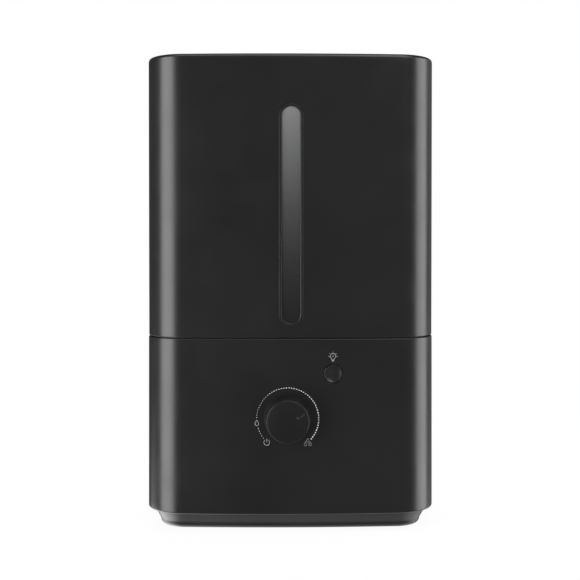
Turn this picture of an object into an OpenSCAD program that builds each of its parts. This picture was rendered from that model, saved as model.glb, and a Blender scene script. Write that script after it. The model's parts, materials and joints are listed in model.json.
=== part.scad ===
// Cool mist humidifier: a water tank with a mist chimney standing on a base
// that holds the basin, the ultrasonic disc, the fan and the electronics.
// Millimetres, +Z up, front towards -Y. The origin is the centre of the
// footprint on the surface that the humidifier stands on.

/* [Body] */
// Width of the body at the rim
body_w = 190; // [185:1:205]
// Depth of the body without the knob
body_d = 150; // [146:1:160]
// Radius of the upright corners
corner_r = 24; // [21:1:27]
// Radius of the slight bow of the front and back
bow_r = 1050; // [950:50:2000]
// Height of the base housing
base_h = 113.8; // [112:0.2:116]
// Height of the tank above the seam
tank_h = 184.8; // [176:0.2:206]
// Sideways draft of the tank, from its rim to the seam
tank_draft = 0.4; // [0.2:0.1:0.6]
// How far the housing sides stand in from the rim
base_inset = 0.2; // [0.1:0.1:0.3]
// Wall thickness of the housing
base_wall = 2.5; // [2.3:0.1:2.6]
// Wall thickness of the tank
tank_wall = 3; // [2.8:0.1:3.1]
// Radius of the edge around the rim
rim_r = 2.6; // [2:0.2:2.6]
// Open seam between the tank and the housing
seam_gap = 0.6; // [0.4:0.1:0.8]

/* [Foot] */
// Height of the tapered foot with its rubber ring
foot_h = 12; // [12:0.5:13]
// How far the foot stands in from the rim at its top
foot_inset_top = 4.4; // [4:0.1:5]
// How far the foot stands in from the rim above its lower edge
foot_inset_low = 8.5; // [8:0.1:9.5]
// Radius of the lower edge of the foot
foot_edge_r = 3.4; // [3:0.2:3.6]
// How far the rubber ring stands out below the foot
ring_proud = 1; // [0.8:0.1:1.2]

/* [Water window] */
// Offset of the window from the middle
window_x = 0; // [-1:0.5:1]
// Width of the dark frame around the window
frame_w = 15.8; // [15.4:0.2:18]
// Length of the dark frame around the window
frame_len = 144; // [140:1:148]
// Height of the frame's lower end above the seam
frame_above_seam = 7.6; // [7:0.2:9]
// Width of the clear strip
strip_w = 12.1; // [11.5:0.1:12.5]
// How far the clear strip lies behind the frame
strip_recess = 0.7; // [0.5:0.1:0.8]
// How far the frame stands out of the tank
frame_proud = 0.25; // [0.2:0.05:0.4]

/* [Mist knob] */
// Offset of the knob from the middle
knob_x = -2.2; // [-3:0.1:-1]
// Height of the knob's axis above the surface
knob_z = 74.4; // [72:0.2:76]
// Radius of the knob at the panel
knob_back_r = 15.4; // [15:0.1:16]
// Radius of the knob's front face
knob_front_r = 14.1; // [13.5:0.1:14.3]
// How far the knob stands out of the panel
knob_out = 14; // [12:0.5:15]
// Angle of the pointer groove above the right-hand side
pointer_deg = 27; // [0:1:90]
// Radius of the control's shaft
shaft_r = 3; // [2.9:0.1:3.1]

/* [Night light button] */
// Offset of the button from the middle
button_x = 27.1; // [26:0.1:29]
// Height of the button's axis above the surface
button_z = 103.2; // [102:0.2:104]
// Radius of the button cap
button_r = 5.8; // [5.6:0.1:6.1]
// Gap around the button cap
button_gap = 0.45; // [0.4:0.05:0.5]
// Travel of the button
button_travel = 1; // [0.8:0.1:1.2]

/* [Mist path] */
// Distance of the chimney's axis behind the middle
chimney_y = 18; // [14:1:20]
// Inner radius of the chimney
chimney_r = 14; // [13.5:0.5:14]
// Depth of the well above the lid
lid_depth = 14.5; // [14:0.5:16]
// Height of the nozzle above the lid
nozzle_h = 12.5; // [11:0.5:13]
// Outer radius of the nozzle
nozzle_r = 20; // [19:0.5:21]

/* [Basin] */
// Depth of the basin below its flange
basin_depth = 26; // [25:1:28]
// Inner radius of the air tower
tower_r = 14; // [13:0.5:14]
// Travel of the float
float_travel = 10; // [8:1:10]
// Stroke of the tank's valve
valve_stroke = 4; // [3:0.5:4]

/* [Hidden] */
$fn = 64;
eps = 0.01;
lap = 0.4;

// ---- heights ----
base_top = foot_h + base_h;
tank_low = base_top + seam_gap;
rim_z = base_top + tank_h;
flange_t = 2.5;
flange_drop = 4;
flange_top = base_top - flange_drop;
flange_low = flange_top - flange_t;
tank_floor_t = 2.5;
tank_floor_low = tank_low + 3;
tank_floor_top = tank_floor_low + tank_floor_t;
basin_floor_t = 2.5;
basin_low = flange_low - basin_depth;
basin_floor = basin_low + basin_floor_t;
foot_low = ring_proud;
foot_floor_t = 2.5;
foot_floor = foot_low + foot_floor_t;

// ---- lid and nozzle heights ----
lid_t = 2.5;
gasket_t = 1.5;
lid_top = rim_z - lid_depth;
lid_low = lid_top - lid_t;
ledge_t = 2.5;
ledge_top = lid_low - gasket_t;
ledge_low = ledge_top - ledge_t;
ledge_w = 4;
lid_gap = 0.4;
chimney_wall = 2.5;
chimney_top = lid_low - 3.5;
collar_w = 2.5;
slip = 0.1;

// ---- front panel, along y ----
front_y = -body_d / 2;
back_y = body_d / 2;
panel_inner_y = front_y + base_inset + base_wall;
board_t = 1.6;
control_board_y = front_y + 14;
turn_gap = 0.05;

// ---- basin tray and what stands in it ----
tray_x = body_w / 2 - 10;
tray_front = front_y + 27;
tray_back = back_y - 11;
tray_r = 11;
tray_wall = 2.4;
tower_wall = 2;
post_r = 4;
post_low = 16;
post_screw_r = 1.5;
post_pin_r = 2;
post_pin_h = 1.2;
post_x = tray_x - 17;
post_xy = [for (y = [tray_front + 12, tray_back - 16], x = [-post_x, post_x]) [x, y]];
well_r = 18;
well_bore_r = 8;
well_screw_at = 15.2;
led_hole_r = 2.6;
float_x = -22;
float_y = tray_front + 26;
valve_x = tray_x - 37;
valve_y = tray_front + 40;
led_x = 14;
led_y = tray_front + 18;

// ---- fan, clear of the transducer's well ----
fan_size = 44;
fan_x = -(well_r + 6 + fan_size / 2);
fan_y = tray_back - 45;
fan_t = 15;
fan_bore_r = 20;
duct_h = 16;
fan_top = basin_low - duct_h;
fan_low = fan_top - fan_t;
fan_hole = 18;
fan_screw_r = 1.5;
axle_r = 1;

// ---- valve ----
neck_r = 17;
neck_wall = 3;
neck_low = tank_floor_low - 15;
cap_gap = 0.2;
cap_wall = 2.3;
cap_low = neck_low - 8;
cap_t = 2.5;
cap_floor = cap_low + cap_t;
stem_r = 1.8;
stem_low = cap_low - valve_stroke;
disc_low = cap_floor + valve_stroke;
seal_t = 1.5;
plunger_t = 1.5;
guide_low = disc_low + 12;

// ---- transducer ----
disc_r = 10;
disc_t = 1.2;
seal_r = 12.5;
well_low = basin_low - 6;

// ===== outlines and solids that repeat =====

// Points of the footprint, moved in by ix at the sides and iy at the front
// and back: upright corners as arcs, front and back as shallow bows.
corner_steps = 7;
bow_steps = 8;
function bowed(x, y) = [x, y - sign(y) * x * x / (2 * bow_r) * abs(y) / (body_d / 2)];
function corner(cx, cy, r, from) = [
    for (k = [0:corner_steps])
        let (a = from + 90 * k / corner_steps)
            bowed(cx + r * cos(a), cy + r * sin(a))
];
function run(x0, x1, y) = [
    for (k = [1:bow_steps - 1]) bowed(x0 + (x1 - x0) * k / bow_steps, y)
];
function outline(ix, iy) =
    let (r = max(corner_r - min(ix, iy), 3), x = body_w / 2 - ix, y = body_d / 2 - iy)
        concat(
            corner(x - r, y - r, r, 0),
            run(x - r, r - x, y),
            corner(r - x, y - r, r, 90),
            corner(r - x, r - y, r, 180),
            run(r - x, x - r, -y),
            corner(x - r, r - y, r, 270)
        );

// Upright solid of the footprint moved in by one inset
module slab(inset, low, high) {
    translate([0, 0, low])
        linear_extrude(high - low) polygon(outline(inset, inset));
}

// Ring between two insets of the footprint
module band(outer, inner, low, high) {
    difference() {
        slab(outer, low, high);
        slab(inner, low - 1, high + 1);
    }
}

// Closed solid through levels, each [inset at sides, inset at front, z]
module skin(levels) {
    rings = [for (l = levels) outline(l[0], l[1])];
    n = len(rings[0]);
    m = len(rings);
    points = [for (j = [0:m - 1]) for (p = rings[j]) [p[0], p[1], levels[j][2]]];
    sides = [
        for (j = [0:m - 2]) for (k = [0:n - 1])
            let (a = j * n + k, b = j * n + (k + 1) % n)
                [a, a + n, b + n, b]
    ];
    low = [for (k = [0:n - 1]) k];
    high = [for (k = [n - 1:-1:0]) (m - 1) * n + k];
    polyhedron(points, concat([low], sides, [high]));
}

// Levels of a quarter-round edge: from upright at z to level at z + r
edge_steps = 4;
function edge_up(inset, z, r) = [
    for (k = [0:edge_steps])
        let (a = 90 * k / edge_steps, i = inset + r - r * cos(a))
            [i, i, z + r * sin(a)]
];
function edge_down(inset, z, r) = [
    for (k = [edge_steps:-1:0])
        let (a = 90 * k / edge_steps, i = inset + r - r * cos(a))
            [i, i, z - r * sin(a)]
];

module rod(r, low, high) {
    translate([0, 0, low]) cylinder(r = r, h = high - low);
}

module tube(outer, inner, low, high) {
    difference() {
        rod(outer, low, high);
        rod(inner, low - 1, high + 1);
    }
}

// Moves a piece built along +Z so that it runs back along +Y from the front
module facing_back(x, y, z) {
    translate([x, y, z]) rotate([-90, 0, 0]) children();
}

// Upright slot with round ends, seen from the front, running along y
module stadium(w, len, y0, y1) {
    translate([0, y1, 0]) rotate([90, 0, 0]) linear_extrude(y1 - y0) {
        square([w, len - w], center = true);
        for (s = [-1, 1]) translate([0, s * (len - w) / 2]) circle(d = w);
    }
}

// Rounded rectangle from its corners, as a solid between two heights
module tray(x, y0, y1, r, low, high) {
    translate([0, 0, low]) linear_extrude(high - low)
        polygon([
            for (c = [[x - r, y1 - r, 0], [r - x, y1 - r, 90],
                      [r - x, y0 + r, 180], [x - r, y0 + r, 270]])
                for (k = [0:6])
                    [c[0] + r * cos(c[2] + 15 * k), c[1] + r * sin(c[2] + 15 * k)]
        ]);
}

// Screw with its head at the bottom, running up along +Z
module screw(head_r, head_h, r, len) {
    difference() {
        union() {
            rod(head_r, -head_h, 0);
            rod(r, -eps, len);
        }
        for (a = [0, 90])
            rotate([0, 0, a])
                translate([0, 0, -head_h])
                    cube([head_r * 1.3, head_r * 0.3, head_h * 0.9], center = true);
    }
}

// Round lead swept along a route, one ring of points at each bend
lead_sides = 8;
function unit(v) = v / norm(v);
function heading(p, k) =
    unit(
        (k < len(p) - 1 ? unit(p[k + 1] - p[k]) : [0, 0, 0]) +
        (k > 0 ? unit(p[k] - p[k - 1]) : [0, 0, 0])
    );
function bent(p, s) = [
    p[0],
    for (k = [1:len(p) - 2])
        for (t = [0:s])
            let (a = p[k] + (p[k - 1] - p[k]) * 0.35, b = p[k] + (p[k + 1] - p[k]) * 0.35,
                 u = t / s)
                a * (1 - u) * (1 - u) + p[k] * 2 * u * (1 - u) + b * u * u,
    p[len(p) - 1]
];
function carried(p, k, side) =
    let (h = heading(p, k), s = side - h * (side * h)) unit(s);
function sides_along(p, k, side, all) =
    k == len(p) ? all :
        let (s = carried(p, k, side)) sides_along(p, k + 1, s, concat(all, [s]));
module lead(route, r) {
    p = bent(route, 4);
    n = lead_sides;
    m = len(p);
    h0 = heading(p, 0);
    start = abs(h0[2]) > 0.8 ? [1, 0, 0] : [0, 0, 1];
    across = sides_along(p, 0, start, []);
    points = [
        for (k = [0:m - 1]) for (j = [0:n - 1])
            let (h = heading(p, k), u = across[k], v = cross(h, u), a = 360 * j / n)
                p[k] + r * (cos(a) * u + sin(a) * v)
    ];
    sides = [
        for (k = [0:m - 2]) for (j = [0:n - 1])
            let (a = k * n + j, b = k * n + (j + 1) % n)
                [a, a + n, b + n, b]
    ];
    low = [for (j = [0:n - 1]) j];
    high = [for (j = [n - 1:-1:0]) (m - 1) * n + j];
    polyhedron(points, concat([low], sides, [high]));
}

// ===== base =====

boss_r = 3;
board_hole_r = 1.1;
control_w = 66;
control_low = 60;
control_high = 112;
control_mid_x = 10;
control_holes = [for (x = [-28, 28], z = [64, 108]) [control_mid_x + x, z]];
inlet_z = 30;
inlet_r = 5.5;
ledge_inset = 6.6;
vent_w = 2.4;
vent_len = 26;
vent_pitch = 6;
vent_z = 62;

module base_housing() {
    inner = base_inset + base_wall;
    color([0.13, 0.13, 0.135]) difference() {
        union() {
            difference() {
                skin(concat(
                    edge_down(base_inset, foot_h + 2, 2),
                    edge_up(base_inset, base_top - 0.6, 0.6)
                ));
                slab(inner, foot_h + 3, base_top + 1);
                slab(9, foot_h - 1, foot_h + 4);
            }
            band(inner - lap, ledge_inset, flange_low - 3, flange_low);
            for (h = control_holes)
                facing_back(h[0], panel_inner_y - lap, h[1])
                    rod(boss_r, 0, control_board_y - panel_inner_y + lap);
        }
        for (h = control_holes)
            facing_back(h[0], control_board_y - 7, h[1]) rod(board_hole_r, 0, 8);
        facing_back(knob_x, front_y - 1, knob_z) rod(shaft_r + 0.6, 0, base_wall + 4);
        facing_back(button_x, front_y - 1, button_z)
            rod(button_r + button_gap, 0, base_wall + 4);
        facing_back(0, back_y - base_wall - 2, inlet_z) rod(inlet_r, 0, base_wall + 4);
        for (s = [-1, 1], k = [0:6])
            translate([s * (22 + k * vent_pitch), back_y - 3, vent_z])
                stadium(vent_w, vent_len, -4, 4);
    }
}

foot_wall = 2.6;
ring_w = 5;
ring_depth = 1.5;
ring_inset = foot_inset_low + foot_edge_r + 2;
head_pocket_r = 4;
driver_x = -20;
driver_y = -32;
driver_w = 70;
driver_d = 76;
driver_z = 20;
standoff_xy = [
    for (x = [driver_x + 6, driver_x + driver_w - 6], y = [driver_y + 6, driver_y + driver_d - 6])
        [x, y]
];
intake_n = 9;
filter_half = 22;
fence = filter_half + 2;

module foot_plinth() {
    color([0.19, 0.19, 0.195]) difference() {
        union() {
            difference() {
                skin(concat(
                    edge_down(foot_inset_low, foot_low + foot_edge_r, foot_edge_r),
                    [[foot_inset_top, foot_inset_top, foot_h]]
                ));
                slab(foot_inset_low + foot_wall, foot_floor, foot_h + 1);
            }
            for (p = post_xy) translate([p[0], p[1], 0]) rod(post_r + 2, foot_low + 0.5, post_low);
            for (p = standoff_xy) translate([p[0], p[1], 0]) rod(3, foot_low + 0.5, driver_z);
            translate([fan_x, fan_y, 0]) difference() {
                translate([-fence, -fence, foot_low + 0.5]) cube([2 * fence, 2 * fence, 9.5]);
                translate([-filter_half, -filter_half, foot_low])
                    cube([2 * filter_half, 2 * filter_half, 12]);
            }
        }
        band(ring_inset, ring_inset + ring_w, foot_low - 1, foot_low + ring_depth);
        for (p = post_xy) translate([p[0], p[1], 0]) {
            rod(head_pocket_r, -1, foot_low + 5);
            rod(post_screw_r + 0.3, 0, post_low + 4);
        }
        for (p = standoff_xy) translate([p[0], p[1], 0]) rod(board_hole_r, 8, driver_z + 1);
        for (k = [0:intake_n - 1])
            translate([fan_x - 20 + k * 5 - 1.5, fan_y - 18, foot_low - 1]) cube([3, 36, 5]);
    }
}

module ring_foot() {
    color([0.07, 0.07, 0.07])
        band(ring_inset, ring_inset + ring_w, 0, foot_low + ring_depth);
}

module bottom_screws() {
    color([0.62, 0.63, 0.65]) for (p = post_xy)
        translate([p[0], p[1], foot_low + 5]) screw(3, 2.4, post_screw_r, 22);
}

module water_basin() {
    inner_x = tray_x - tray_wall;
    color([0.24, 0.24, 0.25]) difference() {
        union() {
            difference() {
                union() {
                    slab(base_inset + base_wall + 0.3, flange_low, flange_top);
                    tray(tray_x, tray_front, tray_back, tray_r, basin_low, flange_low + 1);
                }
                tray(inner_x, tray_front + tray_wall, tray_back - tray_wall,
                     tray_r - tray_wall, basin_floor, flange_top + 1);
            }
            translate([float_x, float_y, 0]) {
                rod(6, basin_low + 1, basin_floor + 1.5);
                rod(2.8, basin_low + 1, flange_top - 1);
            }
            translate([valve_x, valve_y, 0]) {
                rod(2.2, basin_low + 1, stem_low);
                for (a = [0, 90]) rotate([0, 0, a])
                    translate([-5, -0.8, basin_low + 1]) cube([10, 1.6, 5]);
            }
        }
        translate([fan_x, fan_y, 0]) rod(tower_r + tower_wall, basin_low - 1, basin_floor + 1);
        translate([float_x, float_y, 0]) rod(1.4, basin_low - 1, flange_top - 4);
        translate([0, chimney_y, 0]) rod(well_bore_r, basin_low - 1, basin_floor + 1);
        translate([led_x, led_y, 0]) rod(led_hole_r, basin_low - 1, basin_low + 1.2);
        for (p = post_xy)
            translate([p[0], p[1], 0]) rod(post_pin_r, basin_low - 1, basin_low + post_pin_h);
    }
}

// Posts that carry the basin on the foot, and the holder of the night light
module basin_bosses() {
    color([0.24, 0.24, 0.25]) {
        for (p = post_xy) translate([p[0], p[1], 0]) difference() {
            union() {
                rod(post_r, post_low, basin_low);
                rod(post_pin_r, basin_low - 1, basin_low + post_pin_h);
            }
            rod(post_screw_r, post_low - 1, post_low + 14);
        }
        translate([led_x, led_y, 0]) tube(4, led_hole_r, basin_low - 6, basin_low);
    }
}

module air_tower() {
    color([0.24, 0.24, 0.25]) translate([fan_x, fan_y, 0]) {
        tube(tower_r + tower_wall, tower_r, basin_low - 4, flange_top + 2);
        tube(tower_r + tower_wall + collar_w, tower_r + tower_wall - lap,
             basin_floor, basin_floor + 2);
    }
}

disc_low_z = basin_low - 3.6;

module transducer_well() {
    color([0.24, 0.24, 0.25]) translate([0, chimney_y, 0]) difference() {
        rod(well_r, well_low, basin_low);
        rod(well_bore_r, well_low - 1, basin_low + 1);
        rod(seal_r, well_low - 1, basin_low - 1);
        for (a = [30:120:270]) rotate([0, 0, a])
            translate([well_screw_at, 0, 0]) rod(1.2, well_low - 1, well_low + 5);
    }
}

module transducer_disc() {
    color([0.8, 0.76, 0.62]) translate([0, chimney_y, 0])
        rod(disc_r, disc_low_z, disc_low_z + disc_t);
}

module transducer_seal() {
    color([0.3, 0.3, 0.31]) translate([0, chimney_y, 0]) difference() {
        rod(seal_r, well_low + 1, basin_low - 1);
        rod(well_bore_r, well_low, basin_low);
        rod(disc_r, disc_low_z, disc_low_z + disc_t);
    }
}

module transducer_bracket() {
    color([0.7, 0.71, 0.73]) translate([0, chimney_y, 0]) difference() {
        union() {
            rod(well_r, well_low - 1.5, well_low);
            rod(seal_r - 0.1, well_low - eps, well_low + 1);
        }
        rod(well_bore_r, well_low - 3, well_low + 3);
        for (a = [30:120:270]) rotate([0, 0, a])
            translate([well_screw_at, 0, 0]) rod(1.4, well_low - 3, well_low + 3);
    }
}

module transducer_screws() {
    color([0.62, 0.63, 0.65]) translate([0, chimney_y, well_low - 1.5])
        for (a = [30:120:270]) rotate([0, 0, a])
            translate([well_screw_at, 0, 0]) screw(2.4, 1.5, 1.2, 6);
}

module driver_board() {
    color([0.12, 0.35, 0.2]) difference() {
        translate([driver_x, driver_y, driver_z]) cube([driver_w, driver_d, board_t]);
        for (p = standoff_xy) translate([p[0], p[1], 0]) rod(1.4, driver_z - 1, driver_z + 3);
    }
}

module board_screws() {
    color([0.62, 0.63, 0.65]) for (p = standoff_xy)
        translate([p[0], p[1], driver_z + board_t]) mirror([0, 0, 1])
            screw(2.4, 1.5, board_hole_r, 10);
}

board_top = driver_z + board_t;
sink_w = 36;
sink_d = 24;
sink_h = 21;
sink_t = 3;
fin_t = 1.8;
fins = 7;

module heat_sink() {
    pitch = (sink_w - fin_t) / (fins - 1);
    color([0.75, 0.76, 0.78]) translate([driver_x + 18, driver_y + 40, board_top]) {
        cube([sink_w, sink_d, sink_t]);
        for (k = [0:fins - 1])
            translate([k * pitch, 0, sink_t - eps]) cube([fin_t, sink_d, sink_h - sink_t]);
    }
}

module drive_coil() {
    color([0.55, 0.3, 0.14]) translate([driver_x + 22, driver_y + 14, 0]) {
        tube(7, 2.5, board_top, board_top + 2);
        tube(5.6, 2.5, board_top + 2 - eps, board_top + 10);
        tube(7, 2.5, board_top + 10 - eps, board_top + 12);
    }
}

module capacitors() {
    color([0.16, 0.2, 0.4]) for (p = [[42, 10], [56, 16], [44, 26]])
        translate([driver_x + p[0], driver_y + p[1], 0]) rod(4.5, board_top, board_top + 15);
}

module fan_frame() {
    color([0.1, 0.1, 0.1]) translate([fan_x, fan_y, 0]) difference() {
        union() {
            difference() {
                translate([-fan_size / 2, -fan_size / 2, fan_low]) cube([fan_size, fan_size, fan_t]);
                rod(fan_bore_r, fan_low - 1, fan_top + 1);
            }
            rod(9.5, fan_low, fan_low + 2);
            for (a = [45:90:315]) rotate([0, 0, a])
                translate([6, -1.2, fan_low]) cube([fan_bore_r - 5, 2.4, 2]);
        }
        for (x = [-1, 1], y = [-1, 1])
            translate([x * fan_hole, y * fan_hole, 0]) rod(fan_screw_r, fan_low - 1, fan_top + 1);
    }
}

module fan_stator() {
    color([0.6, 0.34, 0.16]) translate([fan_x, fan_y, 0])
        tube(6.5, axle_r + turn_gap, fan_low + 2, fan_low + 9.5);
}

module fan_screws() {
    color([0.62, 0.63, 0.65]) for (x = [-1, 1], y = [-1, 1])
        translate([fan_x + x * fan_hole, fan_y + y * fan_hole, fan_low])
            screw(2.8, 1.6, fan_screw_r, fan_t + 8);
}

module air_duct() {
    color([0.2, 0.2, 0.21]) translate([fan_x, fan_y, 0]) difference() {
        translate([-fan_size / 2, -fan_size / 2, fan_top]) cube([fan_size, fan_size, duct_h]);
        rod(fan_bore_r, fan_top - 1, basin_low - 4);
        rod(tower_r + tower_wall, basin_low - 5, basin_low + 1);
        for (x = [-1, 1], y = [-1, 1])
            translate([x * fan_hole, y * fan_hole, 0]) rod(fan_screw_r, fan_top - 1, fan_top + 8);
    }
}

filter_t = 5;

module intake_filter() {
    color([0.16, 0.16, 0.17])
        translate([fan_x - filter_half, fan_y - filter_half, foot_floor])
            cube([2 * filter_half, 2 * filter_half, filter_t]);
}

module filter_retainer() {
    low = foot_floor + filter_t;
    hole = 2 * filter_half - 6;
    color([0.2, 0.2, 0.21]) translate([fan_x, fan_y, 0]) {
        difference() {
            translate([-filter_half, -filter_half, low])
                cube([2 * filter_half, 2 * filter_half, 2]);
            translate([-hole / 2, -hole / 2, low - 1]) cube([hole, hole, 4]);
        }
        for (k = [-1:1]) {
            translate([k * 10 - 1, -hole / 2 - 1, low]) cube([2, hole + 2, 2]);
            translate([-hole / 2 - 1, k * 10 - 1, low]) cube([hole + 2, 2, 2]);
        }
    }
}

float_low = basin_floor + 1.5;
float_h = 8;

module float_cap() {
    color([0.8, 0.8, 0.78]) translate([float_x, float_y, 0]) difference() {
        rod(5, float_low + float_h + float_travel, flange_top);
        rod(2.8, float_low + float_h + float_travel - 1, flange_top - 1);
    }
}

module reed_switch() {
    color([0.5, 0.6, 0.55]) translate([float_x, float_y, 0])
        rod(1.3, basin_low - 6, flange_top - 6);
}

module night_light_led() {
    color([0.9, 0.9, 0.8]) translate([led_x, led_y, 0]) {
        rod(2.5, basin_low - 8, basin_low - 1);
        rod(2.9, basin_low - 9, basin_low - 8 + eps);
    }
}

module control_board() {
    color([0.12, 0.35, 0.2]) difference() {
        translate([control_mid_x - control_w / 2, control_board_y, control_low])
            cube([control_w, board_t, control_high - control_low]);
        for (h = control_holes)
            facing_back(h[0], control_board_y - 1, h[1]) rod(1.4, 0, 4);
    }
}

module control_screws() {
    color([0.62, 0.63, 0.65]) for (h = control_holes)
        translate([h[0], control_board_y + board_t, h[1]]) rotate([90, 0, 0])
            screw(2.4, 1.5, board_hole_r, 8);
}

control_body_t = 6;
control_body_y = control_board_y - control_body_t;

module control_body() {
    color([0.45, 0.46, 0.48]) facing_back(knob_x, 0, knob_z) difference() {
        union() {
            rod(8.3, control_body_y, control_board_y);
            rod(4.6, control_body_y - 4, control_body_y + eps);
        }
        rod(shaft_r + turn_gap, control_body_y - 5, control_board_y - 1);
    }
}

switch_h = 4;
switch_y = control_board_y - switch_h;
plunger_r = 1.7;

module tact_switch() {
    color([0.12, 0.12, 0.12]) difference() {
        translate([button_x - 3, switch_y, button_z - 3]) cube([6, switch_h, 6]);
        facing_back(button_x, switch_y - 1, button_z) rod(plunger_r + turn_gap, 0, 3.5);
    }
}

module power_inlet() {
    color([0.06, 0.06, 0.06]) facing_back(0, 0, inlet_z) {
        difference() {
            union() {
                rod(inlet_r, back_y - 13, back_y + eps);
                rod(7.5, back_y, back_y + 1.2);
            }
            rod(2.8, back_y - 8.3, back_y + 3);
        }
        rod(1, back_y - 9, back_y - 0.8);
    }
}

module inlet_nut() {
    color([0.7, 0.71, 0.73]) facing_back(0, back_y - base_wall - base_inset - 3, inlet_z)
        difference() {
            cylinder(r = 8.5, h = 2.9, $fn = 6);
            rod(inlet_r, -1, 5);
        }
}

// Routes of the leads inside the base, from where each is plugged in
lead_r = 1.3;
fan_route = [[fan_x + 22, fan_y - 12, fan_low + 5], [-17, fan_y - 12, fan_low + 5],
             [-12, driver_y + 36, 40], [-12, driver_y + 36, board_top]];
disc_y = driver_y + driver_d - 6;
disc_route = [[4, chimney_y, disc_low_z], [4, chimney_y, 72], [8, disc_y, 60],
              [8, disc_y, 36], [8, disc_y, board_top]];
panel_route = [[14, control_board_y + board_t, 76], [14, control_board_y + 11, 76],
               [14, driver_y - 4, 52], [14, driver_y + 3, 34], [14, driver_y + 3, board_top]];
inlet_route = [[0, back_y - 13, inlet_z], [0, back_y - 21, inlet_z], [14, disc_y + 6, 36],
               [26, disc_y, 34], [26, disc_y, board_top]];

module fan_lead() {
    color([0.7, 0.1, 0.1]) lead(fan_route, lead_r);
}

module disc_lead() {
    color([0.75, 0.75, 0.72]) lead(disc_route, lead_r);
}

module panel_lead() {
    color([0.2, 0.2, 0.55]) lead(panel_route, lead_r);
}

module inlet_lead() {
    color([0.08, 0.08, 0.08]) lead(inlet_route, lead_r);
}

// ===== moving pieces of the base =====

module fan_impeller() {
    hub_top = fan_low + 13;
    color([0.15, 0.15, 0.16]) translate([fan_x, fan_y, 0]) {
        difference() {
            rod(9.5, fan_low + 3, hub_top);
            rod(8, fan_low + 2, hub_top - 1.5);
        }
        rod(axle_r, fan_low + 3, hub_top - 1);
        for (k = [0:6]) rotate([0, 0, k * 360 / 7])
            translate([13.6, 0, fan_low + 8]) rotate([40, 0, 0])
                cube([10.6, 10, 1.2], center = true);
    }
}

module rotor_magnet() {
    color([0.3, 0.3, 0.32]) translate([fan_x, fan_y, 0])
        tube(8, 7.1, fan_low + 3.5, fan_low + 10.5);
}

float_bore_r = 3.3;

module float_ring() {
    color([0.93, 0.93, 0.9]) translate([float_x, float_y, 0]) difference() {
        rod(11, float_low, float_low + float_h);
        rod(float_bore_r, float_low - 1, float_low + float_h + 1);
        rod(6.5, float_low - 1, float_low + 3);
    }
}

module float_magnet() {
    color([0.3, 0.3, 0.32]) translate([float_x, float_y, 0])
        tube(6.5, float_bore_r + 0.4, float_low + 0.2, float_low + 3);
}

knob_gap = 0.3;
knob_chamfer = 0.5;

module mist_knob() {
    back = front_y + base_inset - knob_gap;
    face = front_y - knob_out;
    deep = back - face;
    color([0.12, 0.12, 0.125]) translate([knob_x, 0, knob_z]) difference() {
        translate([0, back, 0]) rotate([90, 0, 0]) rotate_extrude(convexity = 6)
            polygon([
                [shaft_r, 1], [shaft_r + 2.2, 1], [shaft_r + 2.2, deep - 3],
                [knob_front_r - 2.2, deep - 3], [knob_back_r - 2, 0], [knob_back_r, 0],
                [knob_back_r, 2], [knob_back_r - 0.6, 2.6],
                [knob_front_r, deep - knob_chamfer], [knob_front_r - knob_chamfer, deep],
                [0, deep - 0.3], [0, deep - 3], [shaft_r, deep - 3]
            ]);
        rotate([0, -pointer_deg, 0]) translate([6.4, face - 1, -1]) cube([6, 1.7, 2]);
    }
}

module control_shaft() {
    tip = front_y - knob_out + 3.2;
    color([0.72, 0.73, 0.75]) facing_back(knob_x, 0, knob_z) difference() {
        rod(shaft_r, tip, control_board_y - 1.2);
        translate([shaft_r - 0.6, -5, tip - 1]) cube([3, 10, 10]);
    }
}

module night_light_button() {
    face = front_y - 0.1 + button_x * button_x / (2 * bow_r);
    flange = panel_inner_y + 0.75;
    color([0.1, 0.1, 0.105]) difference() {
        facing_back(button_x, 0, button_z) {
            rod(button_r, face, flange + 0.4);
            rod(button_r + 1.4, flange, flange + 1);
            rod(plunger_r, flange, switch_y - 1.2);
        }
        translate([button_x, face - 12.6, button_z]) sphere(r = 13.6);
    }
}

module switch_plunger() {
    color([0.5, 0.1, 0.1]) facing_back(button_x, 0, button_z)
        rod(plunger_r, switch_y - 1.2, switch_y + 0.9);
}

// ===== tank =====

frame_mid_z = tank_low + frame_above_seam + frame_len / 2;
frame_side = (frame_w - strip_w) / 2;
strip_len = frame_len - 2 * frame_side;
glue_t = 0.1;

module tank_shell() {
    color([0.13, 0.13, 0.135]) difference() {
        skin(concat(
            [[tank_draft + 0.5, 0.5, tank_low], [tank_draft, 0, tank_low + 0.5]],
            edge_up(0, rim_z - rim_r, rim_r)
        ));
        slab(tank_wall, tank_low - 1, rim_z + 1);
        translate([window_x, front_y, frame_mid_z])
            stadium(frame_w, frame_len, -1, tank_wall + 2);
    }
}

module lid_ledge() {
    color([0.13, 0.13, 0.135]) band(tank_wall, tank_wall + ledge_w, ledge_low, ledge_top);
}

module tank_bottom() {
    spigot = base_inset + base_wall + 0.5;
    color([0.16, 0.16, 0.165]) difference() {
        union() {
            slab(tank_wall, tank_floor_low, tank_floor_top);
            band(spigot, spigot + 2, flange_top, tank_floor_low + lap);
            translate([valve_x, valve_y, 0])
                rod(neck_r + neck_wall, neck_low, tank_floor_low + lap);
        }
        translate([0, chimney_y, 0])
            rod(chimney_r + chimney_wall, tank_floor_low - 1, tank_floor_top + 1);
        translate([valve_x, valve_y, 0]) rod(neck_r, neck_low - 1, tank_floor_top + 1);
    }
}

module mist_chimney() {
    color([0.16, 0.16, 0.165]) translate([0, chimney_y, 0]) {
        tube(chimney_r + chimney_wall, chimney_r, tank_floor_low, chimney_top);
        tube(chimney_r + chimney_wall + collar_w, chimney_r + chimney_wall - lap,
             tank_floor_top, tank_floor_top + 2);
    }
}

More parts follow.
